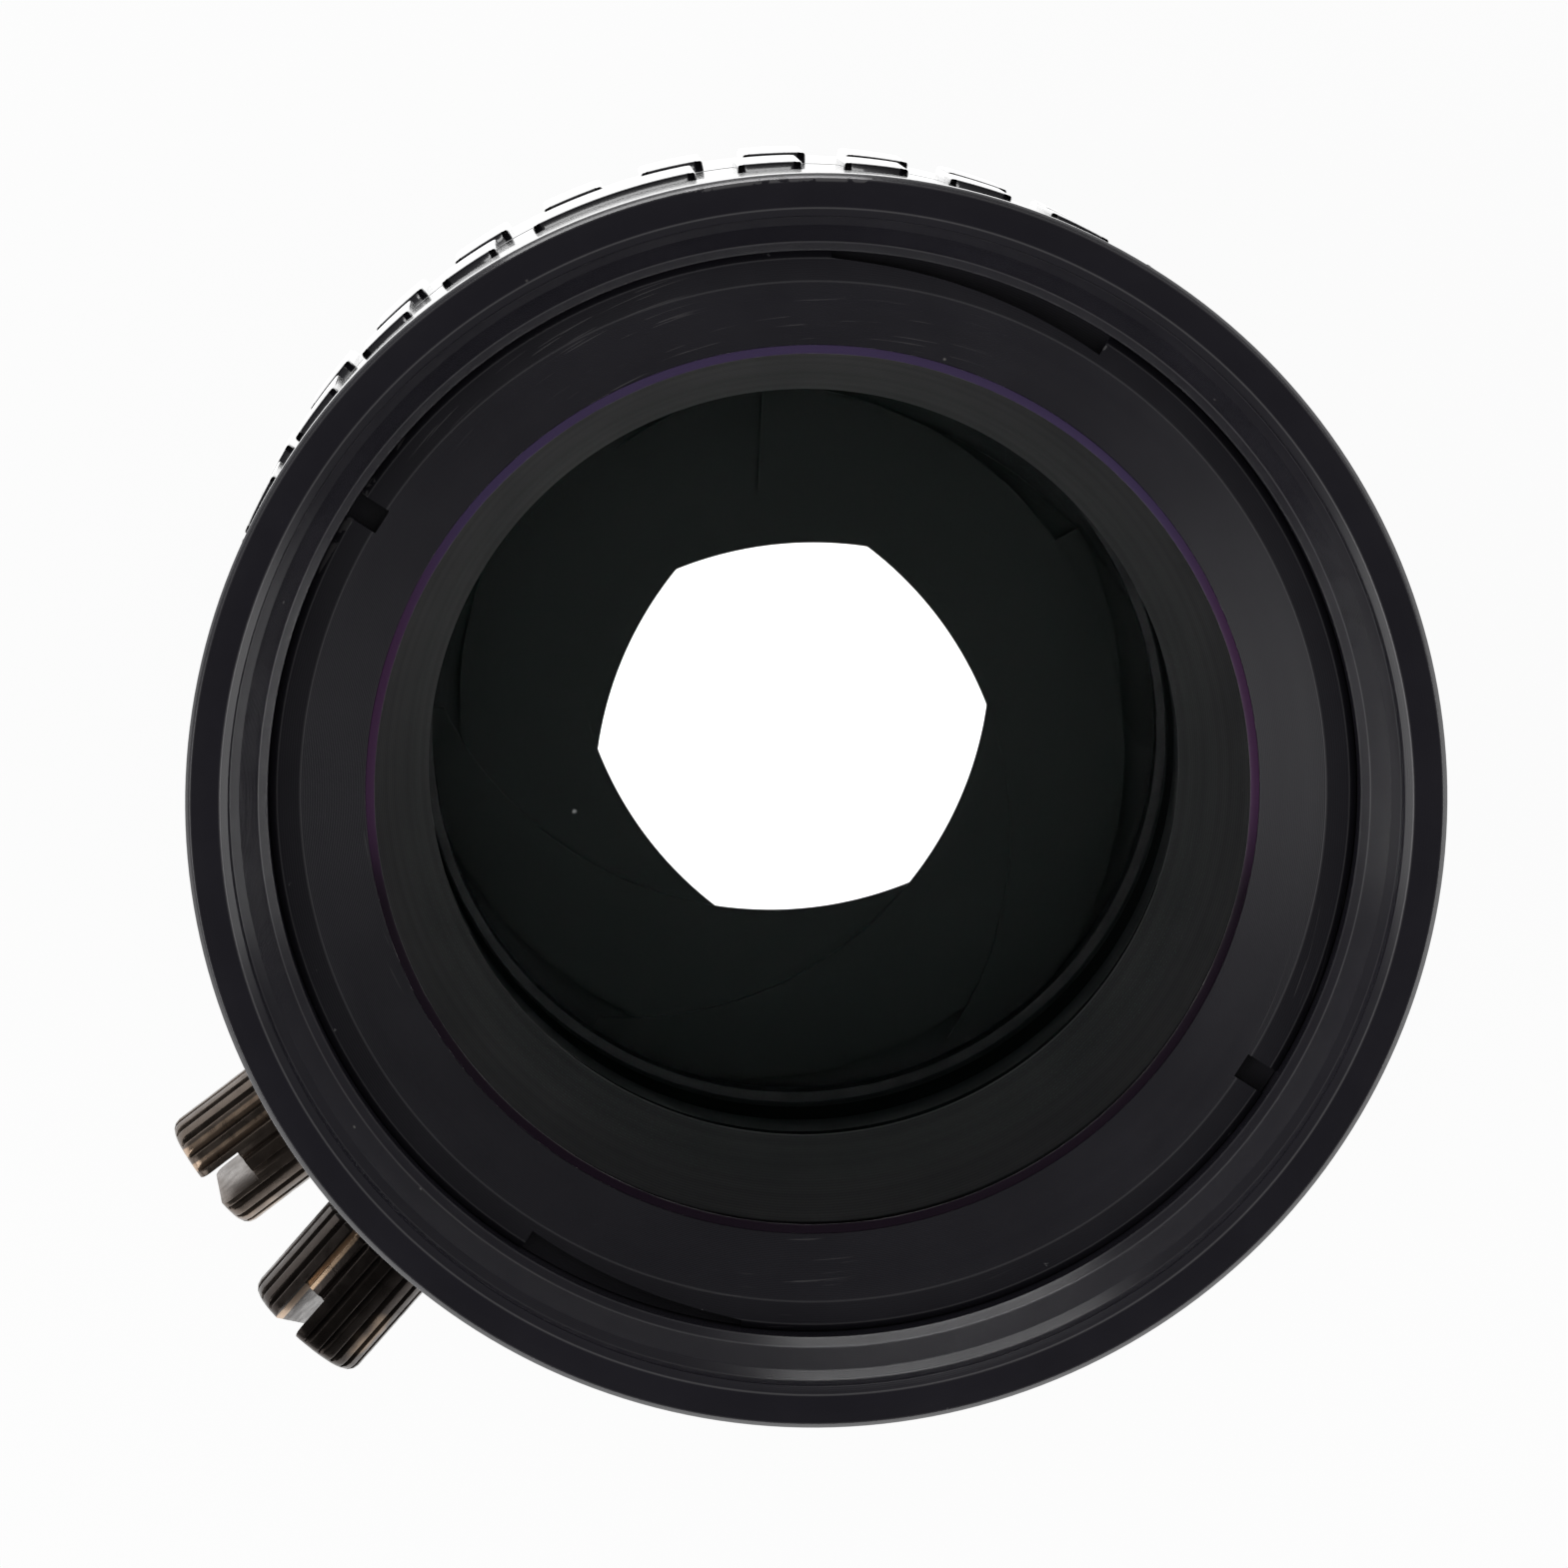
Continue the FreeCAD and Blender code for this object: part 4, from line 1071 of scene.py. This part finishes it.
@dataclass
class MountBarrel:
    """The rear housing: mount thread with its relief groove, seat face and tapered shoulder."""

    paint: Paintbox
    bore_radius: float = 11.15
    thread_radius: float = 12.7
    thread_pitch: float = 0.794
    thread_height: float = 0.42
    relief: float = 0.55
    flange_radius: float = 15.4
    flange_height: float = 2.0
    cone_height: float = 2.5
    radius: float = 18.2
    socket_radius: float = 16.97
    inner_radius: float = 15.55
    inner_floor: float = 3.5
    screw_radius: float = 1.02
    screw_height: float = 8.0
    screw_angles: tuple[float, ...] = (30.0, 150.0, 270.0)

    def section(self) -> list[tuple[float, float]]:
        """Draw the half section, with the thread's crests.

        Returns:
            The section's points.
        """
        low, high = span_of("mount_barrel")
        seat = span_of("main_barrel")[0]
        root = self.thread_radius - self.thread_height
        corners = [Corner(self.bore_radius, low, 0.1), Corner(root, low, 0.05)]
        height = low + 0.55
        while height < -self.relief - 0.3:
            corners.append(Corner(self.thread_radius, height, 0.02))
            corners.append(Corner(root, height + self.thread_pitch / 2, 0.04))
            height += self.thread_pitch
        corners += [
            Corner(root, -self.relief, 0.03),
            Corner(root, 0, 0.03),
            Corner(self.flange_radius, 0, 0.12),
            Corner(self.flange_radius, self.flange_height, 0.04),
            Corner(self.radius, self.flange_height + self.cone_height, 0.3),
            Corner(self.radius, high, 0.16),
            Corner(self.socket_radius, high, 0.03),
            Corner(self.socket_radius, seat),
            Corner(self.inner_radius, seat),
            Corner(self.inner_radius, self.inner_floor),
            Corner(self.bore_radius, self.inner_floor),
        ]
        return smoothed(corners)

    def build(self) -> None:
        """Make the housing with its screw holes."""
        body = Shape("mount_housing").spin(self.section()).to_object()
        start, end = self.radius - 3, self.radius + 3
        cut_away(body, [round_hole(self.screw_radius, angle, self.screw_height, start, end)
                        for angle in self.screw_angles])
        dressed(body, Body.ROOT, self.paint.grip, ("mount_barrel",))


@dataclass
class ThumbScrew:
    """A slotted lock screw with a straight-ribbed head."""

    paint: Paintbox
    node: str
    body: Body
    lock: tuple[float, float]
    slot_tilt: float
    material: str
    shank_radius: float = 0.98
    shank_start: float = 18.03
    collar_radius: float = 1.4
    collar_start: float = 19.9
    head_start: float = 20.4
    head_end: float = 24.2
    head_radius: float = 2.08
    rib_count: int = 22
    rib_depth: float = 0.15
    groove_share: float = 0.21
    chamfer: float = 0.4
    slot_width: float = 0.9
    slot_depth: float = 1.5
    rib_steps: int = 14
    edge_width: float = 0.035

    def ribbed_head(self) -> Shape:
        """Make the head as a ribbed bar along +Z whose grooves run out on the rounded end.

        Returns:
            The head, in millimetres.
        """
        shape = Shape(self.node + "_head")
        mesh = shape.mesh
        count = self.rib_count * self.rib_steps
        end, full = self.head_end, self.head_radius
        levels = [(self.head_start, full - 0.12), (self.head_start + 0.12, full), (end - self.chamfer, full)]
        for part in (0.3, 0.55, 0.8, 1.0):
            turn = part * math.pi / 2
            levels.append((end - self.chamfer * (1 - math.sin(turn)),
                           full - self.chamfer * (1 - math.cos(turn))))
        rows = []
        for height, limit in levels:
            row = []
            for number in range(count):
                beside = abs(number % self.rib_steps / self.rib_steps - 0.5)
                groove = max(0.0, 1.0 - beside / self.groove_share)
                dip = self.rib_depth * groove * groove * (3 - 2 * groove)
                reach = min(full - dip, limit)
                turn = FULL_TURN * number / count
                row.append(mesh.verts.new((reach * math.cos(turn), reach * math.sin(turn), height)))
            rows.append(row)
        for low, high in zip(rows, rows[1:]):
            for number in range(count):
                after = (number + 1) % count
                mesh.faces.new((low[number], low[after], high[after], high[number]))
        mesh.faces.new(rows[0][::-1])
        mesh.faces.new(rows[-1])
        return shape

    def build(self) -> None:
        """Make the screw."""
        head = self.ribbed_head().to_object()
        head.name = head.data.name = self.node + "_ribbed"
        slot = block("slot", Vector((-3, -self.slot_width / 2, self.head_end - self.slot_depth)),
                     Vector((3, self.slot_width / 2, self.head_end + 1)))
        cut_away(head, [slot])
        edge = head.modifiers.new("edge", "BEVEL")
        edge.width = self.edge_width * MM
        edge.segments = 2
        edge.limit_method = "ANGLE"
        edge.angle_limit = math.radians(50)
        graph = bpy.context.evaluated_depsgraph_get()
        data = bpy.data.meshes.new_from_object(head.evaluated_get(graph))
        head.modifiers.remove(edge)
        stem = Shape("stem").spin(smoothed([
            Corner(0, self.shank_start),
            Corner(self.shank_radius, self.shank_start, 0.08),
            Corner(self.shank_radius, self.collar_start, 0.03),
            Corner(self.collar_radius, self.collar_start, 0.05),
            Corner(self.collar_radius, self.head_start + 0.05),
            Corner(0, self.head_start + 0.05),
        ]), closed=False, steps=72)
        whole = Shape(self.node + "_ribbed")
        whole.mesh.from_mesh(data)
        whole.transform(Matrix.Scale(1 / MM, 4))
        whole.add(stem)
        angle, height = self.lock
        tilt = Matrix.Rotation(math.radians(180 - self.slot_tilt), 4, "Z")
        lay = Matrix.Translation((0, 0, height)) @ Matrix.Rotation(math.pi / 2, 4, "Y")
        whole.transform(Matrix.Rotation(math.radians(angle), 4, "Z") @ lay @ tilt)
        bpy.data.objects.remove(head)
        dressed(whole.to_object(), self.body, getattr(self.paint, self.material), (self.node,),
                sharp=32.0, weighted=False)


@dataclass(frozen=True)
class Lens:
    """Glass as it is mounted: its nodes, front one first, its face radius and its faces' bulges."""

    nodes: tuple[str, ...]
    face_radius: float
    front_bulge: float
    rear_bulge: float
    material: str

    def arc(self, height: float, bulge: float, steps: int = 28) -> list[tuple[float, float]]:
        """Draw one face.

        Args:
            height: the height of its edge.
            bulge: how far its middle rises over the edge.
            steps: how many chords it has.

        Returns:
            Its points from the edge to the middle.
        """
        if bulge == 0:
            return [(self.face_radius, height), (0.0, height)]
        curve = (self.face_radius ** 2 + bulge ** 2) / (2 * bulge)
        wide = math.asin(self.face_radius / curve)
        points = []
        for step in range(steps + 1):
            turn = wide * (1 - step / steps)
            points.append((abs(curve * math.sin(turn)), height + bulge - curve * (1 - math.cos(turn))))
        return points

    def build(self, paint: Paintbox) -> None:
        """Make the element.

        Args:
            paint: the finishes.
        """
        foremost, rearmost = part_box(self.nodes[0]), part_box(self.nodes[-1])
        outer = foremost[1].x / MM
        top = foremost[1].z / MM - max(self.front_bulge, 0.0)
        bottom = rearmost[0].z / MM - min(self.rear_bulge, 0.0)
        front = self.arc(top, self.front_bulge)
        rear = self.arc(bottom, self.rear_bulge)
        section = front[::-1] + [(outer, top), (outer, bottom)] + rear
        shape = Shape(self.nodes[0] + "_polished").spin(section, closed=False, steps=180)
        dressed(shape.to_object(), Body.LENS_UNIT, getattr(paint, self.material), self.nodes,
                sharp=20.0, weighted=False)


@dataclass
class Optics:
    """The glass, the spacers between it and the tube behind it."""

    paint: Paintbox
    lip_radius: float = 13.68
    front_spacer_exit: float = 11.74
    elements: tuple[Lens, ...] = (
        Lens(("front_element",), 13.60, 2.4, 1.5, "front_glass"),
        Lens(("second_element",), 11.66, 1.1, 0.6, "inner_glass"),
        Lens(("front_doublet_crown", "front_doublet_flint"), 11.82, 1.2, 0.25, "inner_glass"),
        Lens(("rear_doublet_flint", "rear_doublet_crown"), 9.32, -0.7, -1.1, "rear_glass"),
        Lens(("rear_element",), 9.32, 0.5, 0.0, "rear_glass"),
    )

    def spacer(self) -> None:
        """The tapered spacer behind the front glass."""
        low, high = span_of("front_spacer")
        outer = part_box("front_spacer")[1].x / MM
        piece_corners = [
            Corner(outer, low), Corner(outer, high), Corner(self.lip_radius - 0.08, high, 0.03),
            Corner(self.front_spacer_exit, low + 0.18, 0.05), Corner(self.front_spacer_exit, low),
        ]
        piece = Shape("front_spacer_turned").spin(smoothed(piece_corners)).to_object()
        dressed(piece, Body.LENS_UNIT, self.paint.matte, ("front_spacer",))

    def painted_coating_reflection(self) -> None:
        """The thin ring just inside the retaining ring's lip that carries the painted coating reflection."""
        height = span_of("optics_barrel")[1] + 0.27
        piece = Shape("painted_coating_reflection").spin(smoothed([
            Corner(13.67, height - 0.13, 0.02),
            Corner(13.67, height - 0.01, 0.02),
            Corner(13.40, height - 0.07, 0.02),
            Corner(13.40, height - 0.15, 0.02),
        ], 2)).to_object()
        dressed(piece, Body.LENS_UNIT, self.paint.coating)

    def tubes(self) -> None:
        """Smooth copies of the plain turned inner tubes."""
        for node, inner in (("rear_spacer", 9.4), ("group_spacer", 11.9)):
            low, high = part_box(node)
            outer = high.x / MM
            piece = Shape(node + "_turned").spin([
                (inner, low.z / MM), (outer, low.z / MM), (outer, high.z / MM), (inner, high.z / MM),
            ]).to_object()
            dressed(piece, Body.LENS_UNIT, self.paint.matte, (node,))

    def rear_cell(self) -> None:
        """The rear tube with its clear lip."""
        low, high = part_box("rear_cell")
        flange = high.x / MM
        bottom, top = low.z / MM, high.z / MM
        seat = span_of("rear_doublet_flint")[1]
        piece = Shape("rear_cell_turned").spin(smoothed([
            Corner(9.4, top, 0.05), Corner(flange, top), Corner(flange, top - 1.2), Corner(11.0, top - 1.2),
            Corner(11.0, bottom, 0.12), Corner(10.2, bottom, 0.06), Corner(10.2, seat), Corner(9.4, seat),
        ])).to_object()
        dressed(piece, Body.LENS_UNIT, self.paint.matte, ("rear_cell",))

    def build(self) -> None:
        """Make everything."""
        for element in self.elements:
            element.build(self.paint)
        self.spacer()
        self.painted_coating_reflection()
        self.tubes()
        self.rear_cell()


@dataclass
class IrisBlades:
    """Six thin blades that overlap to a hexagon with curved sides."""

    paint: Paintbox
    count: int = 6
    thickness: float = 0.1
    edge_radius: float = 11.7
    outer_radius: float = 12.1
    open_offset: float = 4.1
    end_angle: float = 140.0
    pivot_circle: float = 13.15
    ear_radius: float = 0.85
    pin_radius: float = 0.4
    drive_pin_radius: float = 0.3
    drive_ear_radius: float = 0.65
    drive_arm: float = 2.0
    drive_angle: float = -103.75
    rest_turn: float = 7.64
    level_gap: float = 0.05
    level_pitch: float = 0.16
    edge_steps: int = 96

    def outline(self) -> list[Vector]:
        """Draw the blade fully open, with its pivot at angle 0.

        Returns:
            Its outline, back edge first.
        """
        points: list[Vector] = []
        ear = math.asin(self.ear_radius / self.pivot_circle)
        tail = -ear * 0.6
        end = math.radians(self.end_angle)
        steps = self.edge_steps
        for step in range(steps + 1):
            turn = end + (ear - end) * step / steps
            points.append(Vector((self.outer_radius * math.cos(turn), self.outer_radius * math.sin(turn), 0)))
        for step in range(24):
            turn = math.radians(128 - 256 * step / 23)
            points.append(Vector((self.pivot_circle + self.ear_radius * math.cos(turn),
                                  self.ear_radius * math.sin(turn), 0)))
        for step in range(2 * steps + 1):
            points.append(self.inner_point(tail + (end - tail) * step / (2 * steps)))
        return points

    def inner_point(self, turn: float) -> Vector:
        """Find a point of the hollow edge.

        Args:
            turn: its direction from the axis, in radians.

        Returns:
            The point.
        """
        drop = self.open_offset * math.sin(turn)
        reach = -drop + math.sqrt(drop ** 2 + self.edge_radius ** 2 - self.open_offset ** 2)
        return Vector((reach * math.cos(turn), reach * math.sin(turn), 0))

    def pin(self, radius: float, low: float, high: float, place: Vector) -> Shape:
        """Make a round pin along Z.

        Args:
            radius: its radius.
            low: its lower end.
            high: its upper end.
            place: its axis.

        Returns:
            The pin.
        """
        shape = Shape("pin")
        bmesh.ops.create_cone(shape.mesh, cap_ends=True, segments=32, radius1=radius, radius2=radius,
                              depth=high - low)
        return shape.transform(Matrix.Translation((place.x, place.y, (low + high) / 2)))

    def blade(self, number: int) -> None:
        """Make one blade.

        Args:
            number: which one, from 0.
        """
        node = "iris_blade_%d" % (number + 1)
        low, high = span_of(node)
        bottom = span_of("iris_blade_1")[0]
        level = span_of("iris_base_plate")[1] + self.level_gap + self.level_pitch * number
        shape = Shape(node + "_thin")
        mesh = shape.mesh
        face = mesh.faces.new([mesh.verts.new(point) for point in self.outline()])
        grown = bmesh.ops.extrude_face_region(mesh, geom=[face])["geom"]
        rising = [item for item in grown if isinstance(item, bmesh.types.BMVert)]
        bmesh.ops.translate(mesh, vec=(0, 0, self.thickness), verts=rising)
        shape.transform(Matrix.Translation((0, 0, level)))
        pivot = Vector((self.pivot_circle, 0, 0))
        turn = math.radians(self.drive_angle)
        drive = pivot + Vector((self.drive_arm * math.cos(turn), self.drive_arm * math.sin(turn), 0))
        ear = self.pin(self.drive_ear_radius, level, level + self.thickness, drive)
        arm = block("arm", Vector((0, -self.drive_ear_radius, level + 0.001)),
                    Vector((self.drive_arm, self.drive_ear_radius, level + self.thickness - 0.001)))
        arm.transform(Matrix.Translation(pivot) @ Matrix.Rotation(turn, 4, "Z"))
        shape.add(ear).add(arm)
        shape.add(self.pin(self.pin_radius, bottom, level + self.thickness * 0.9, pivot))
        shape.add(self.pin(self.drive_pin_radius, level + self.thickness * 0.1, high, drive))
        bmesh.ops.recalc_face_normals(mesh, faces=mesh.faces)
        swing = (Matrix.Translation(pivot) @ Matrix.Rotation(math.radians(self.rest_turn), 4, "Z")
                 @ Matrix.Translation(-pivot))
        shape.transform(Matrix.Rotation(FULL_TURN * number / self.count, 4, "Z") @ swing)
        dressed(shape.to_object(), "blade_%d" % (number + 1), self.paint.blade, (node,),
                weighted=False)

    def build(self) -> None:
        """Make all blades."""
        for number in range(self.count):
            self.blade(number)


class CarriedNodes:
    """CAD nodes whose own shape is kept, with a better material."""

    def __init__(self, nodes: dict[str, bpy.types.Object], paint: Paintbox) -> None:
        """Choose each node's finish.

        Args:
            nodes: the frame's nodes by name.
            paint: the finishes.
        """
        self.nodes = nodes
        self.finishes = {
            "main_barrel": paint.matte, "guide_pin": paint.steel, "focus_stop_pin": paint.steel,
            "focus_retaining_ring": paint.matte, "helicoid_nut": paint.brass, "optics_barrel": paint.matte,
            "iris_base_plate": paint.matte, "iris_cam_ring": paint.steel, "iris_drive_pin": paint.steel,
            "rear_retaining_ring": paint.matte, "mount_set_screws": paint.steel,
            "focus_lock_pad": paint.nylon, "iris_lock_pad": paint.nylon,
        }

    def build(self) -> None:
        """Give each node its material."""
        for name, material in self.finishes.items():
            data = self.nodes[name].data
            data.materials.clear()
            data.materials.append(material)
            LOG.info("node %s keeps its shape", name)


@dataclass(frozen=True)
class PhotoCamera:
    """The photograph's camera, from where the rim and the axis's vanishing point fall in it."""

    picture: float = 1569.0
    sensor: float = 36.0
    focal_pixels: float = 7657.0
    rim_distance: float = 230.0
    rim_centre: tuple[float, float] = (818.7, 807.4)
    vanishing_point: tuple[float, float] = (525.0, -96.0)

    def build(self, rim_height: float) -> None:
        """Place the camera.

        Args:
            rim_height: the height of the rim's centre, in millimetres.
        """
        middle = self.picture / 2
        across, down = self.vanishing_point
        deeper = Vector((across - middle, middle - down, -self.focal_pixels))
        up_axis = -deeper.normalized()
        side_axis = (Vector((1, 0, 0)) - up_axis * up_axis.x).normalized()
        turn = Matrix((side_axis, up_axis.cross(side_axis), up_axis))
        scale = self.rim_distance / self.focal_pixels
        rim = Vector(((self.rim_centre[0] - middle) * scale, (middle - self.rim_centre[1]) * scale,
                      -self.rim_distance))
        place = Vector((0, 0, rim_height)) - turn @ rim
        data = bpy.data.cameras.new("photo_camera")
        data.lens = self.focal_pixels * self.sensor / self.picture
        data.sensor_width = self.sensor
        data.clip_start = 0.01
        camera = bpy.data.objects.new("photo_camera", data)
        camera.matrix_world = Matrix.Translation(place * MM) @ turn.to_4x4()
        bpy.context.scene.collection.objects.link(camera)
        bpy.context.scene.camera = camera


@dataclass(frozen=True)
class Lamp:
    """A rectangular soft lamp: its direction from the lens in degrees, its size in metres and power."""

    name: str
    azimuth: float
    elevation: float
    width: float
    height: float
    power: float
    distance: float = 0.47

    def hang(self, target: Vector) -> None:
        """Hang the lamp so that it faces the lens.

        Args:
            target: the point that it faces.
        """
        data = bpy.data.lights.new(self.name, "AREA")
        data.shape = "RECTANGLE"
        data.size, data.size_y = self.width, self.height
        data.energy = self.power
        turn, rise = math.radians(self.azimuth), math.radians(self.elevation)
        away = Vector((math.cos(rise) * math.cos(turn), math.cos(rise) * math.sin(turn), math.sin(rise)))
        lamp = bpy.data.objects.new(self.name, data)
        lamp.location = target + away * self.distance
        lamp.rotation_euler = (-away).to_track_quat("-Z", "Y").to_euler()
        bpy.context.scene.collection.objects.link(lamp)


@dataclass(frozen=True)
class Studio:
    """A white table, a white room low down and dark above, and soft lamps."""

    floor_size: float = 3.0
    floor_colour: tuple[float, float, float] = (0.86, 0.86, 0.86)
    floor_glow: float = 1.04
    floor_mirrored: float = 0.45
    floor_share: float = 0.9
    room_light: float = 0.42
    room_through_glass: float = 0.9
    lamps: tuple[Lamp, ...] = (
        Lamp("low_window", 102.0, 8.0, 0.32, 0.06, 0.34),
        Lamp("fill", -12.0, 16.0, 0.30, 0.20, 0.4),
        Lamp("left", 196.0, 30.0, 0.30, 0.30, 0.6),
    )

    def floor(self, height: float) -> None:
        """Lay the table that the lens stands on.

        Args:
            height: its height, in millimetres.
        """
        tree = NodeTree("white_table")
        faint = tree.noise(35.0, 3.0)
        colour = tree.blend(tree.span(faint, 0.3, 0.7), (*self.floor_colour, 1.0), (0.83, 0.83, 0.835, 1.0))
        paper = tree.add("BsdfDiffuse", None, Color=colour)
        path = tree.add("LightPath")
        mirrored = tree.math("MULTIPLY", path.outputs["Is Glossy Ray"], self.floor_mirrored)
        glow = tree.add("Emission", None, Color=(1.0, 1.0, 1.0, 1.0), Strength=tree.math(
            "ADD", self.floor_glow, mirrored))
        looked = tree.math("MAXIMUM", path.outputs["Is Camera Ray"], path.outputs["Is Glossy Ray"])
        seen = tree.math("MAXIMUM", tree.math("MULTIPLY", looked, self.floor_share),
                         path.outputs["Is Transmission Ray"])
        mix = tree.add("MixShader")
        tree.feed(mix.inputs[0], seen)
        tree.feed(mix.inputs[1], paper.outputs[0])
        tree.feed(mix.inputs[2], glow.outputs[0])
        shape = Shape("table")
        bmesh.ops.create_grid(shape.mesh, x_segments=2, y_segments=2, size=self.floor_size / MM / 2)
        shape.transform(Matrix.Translation((0, 0, height)))
        table = shape.to_object()
        table.data.materials.append(tree.finish(mix.outputs[0]))

    def room(self) -> None:
        """The world: white where the camera sees it, dark overhead where gloss mirrors it."""
        world = bpy.data.worlds.new("room")
        world.use_nodes = True
        tree = world.node_tree
        tree.nodes.clear()
        out = tree.nodes.new("ShaderNodeOutputWorld")
        path = tree.nodes.new("ShaderNodeLightPath")
        place = tree.nodes.new("ShaderNodeTexCoord")
        parts = tree.nodes.new("ShaderNodeSeparateXYZ")
        tree.links.new(place.outputs["Generated"], parts.inputs[0])
        ramp = tree.nodes.new("ShaderNodeMapRange")
        ramp.interpolation_type = "SMOOTHSTEP"
        for name, number in (("From Min", 0.15), ("From Max", 0.62), ("To Min", 0.22), ("To Max", 0.035)):
            ramp.inputs[name].default_value = number
        tree.links.new(parts.outputs["Z"], ramp.inputs["Value"])
        even = tree.nodes.new("ShaderNodeBackground")
        even.inputs["Strength"].default_value = self.room_light
        mirrored = tree.nodes.new("ShaderNodeBackground")
        passing = tree.nodes.new("ShaderNodeMath")
        passing.operation = "MULTIPLY_ADD"
        passing.inputs[1].default_value = self.room_through_glass
        tree.links.new(path.outputs["Is Transmission Ray"], passing.inputs[0])
        tree.links.new(ramp.outputs[0], passing.inputs[2])
        tree.links.new(passing.outputs[0], mirrored.inputs["Strength"])
        white = tree.nodes.new("ShaderNodeBackground")
        first = tree.nodes.new("ShaderNodeMixShader")
        second = tree.nodes.new("ShaderNodeMixShader")
        seen = tree.nodes.new("ShaderNodeMath")
        seen.operation = "MAXIMUM"
        tree.links.new(path.outputs["Is Glossy Ray"], seen.inputs[0])
        tree.links.new(path.outputs["Is Transmission Ray"], seen.inputs[1])
        tree.links.new(seen.outputs[0], first.inputs[0])
        tree.links.new(even.outputs[0], first.inputs[1])
        tree.links.new(mirrored.outputs[0], first.inputs[2])
        tree.links.new(path.outputs["Is Camera Ray"], second.inputs[0])
        tree.links.new(first.outputs[0], second.inputs[1])
        tree.links.new(white.outputs[0], second.inputs[2])
        tree.links.new(second.outputs[0], out.inputs[0])
        bpy.context.scene.world = world

    def build(self, height: float, target: Vector) -> None:
        """Make the floor, the room and the lamps.

        Args:
            height: the floor's height, in millimetres.
            target: the point that the lamps face.
        """
        self.floor(height)
        self.room()
        for lamp in self.lamps:
            lamp.hang(target)
        bpy.context.scene.view_settings.view_transform = "Standard"


def main() -> None:
    """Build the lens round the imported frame."""
    logging.basicConfig(level=logging.INFO, format="%(name)s: %(message)s")
    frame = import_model()
    rim_height = span_of("front_barrel")[1]
    paint = Paintbox(rim_height)
    FrontBarrel(paint).build()
    FrontRetainer(paint).build()
    focus_top = span_of("focus_ring")[1]
    iris_top = span_of("iris_ring")[1]
    GripRing(paint, "focus_ring", Body.FOCUS_RING, focus_top - 1.0, 3.55, FOCUS_LOCK, joined_pad=10,
             counterbore=(17.92, 25.05)).build()
    GripRing(paint, "iris_ring", Body.IRIS_RING, iris_top - 0.55, 2.3, IRIS_LOCK).build()
    MountBarrel(paint).build()
    ThumbScrew(paint, "focus_lock_screw", Body.FOCUS_SCREW, FOCUS_LOCK, -21.0, "focus_nickel").build()
    ThumbScrew(paint, "iris_lock_screw", Body.IRIS_SCREW, IRIS_LOCK, 9.0, "iris_nickel",
               slot_width=1.15).build()
    Optics(paint).build()
    IrisBlades(paint).build()
    CarriedNodes(frame["nodes"], paint).build()
    PhotoCamera().build(rim_height)
    lowest = span_of("mount_barrel")[0]
    Studio().build(lowest, Vector((0, 0, rim_height * MM / 2)))


if __name__ == "__main__":
    main()
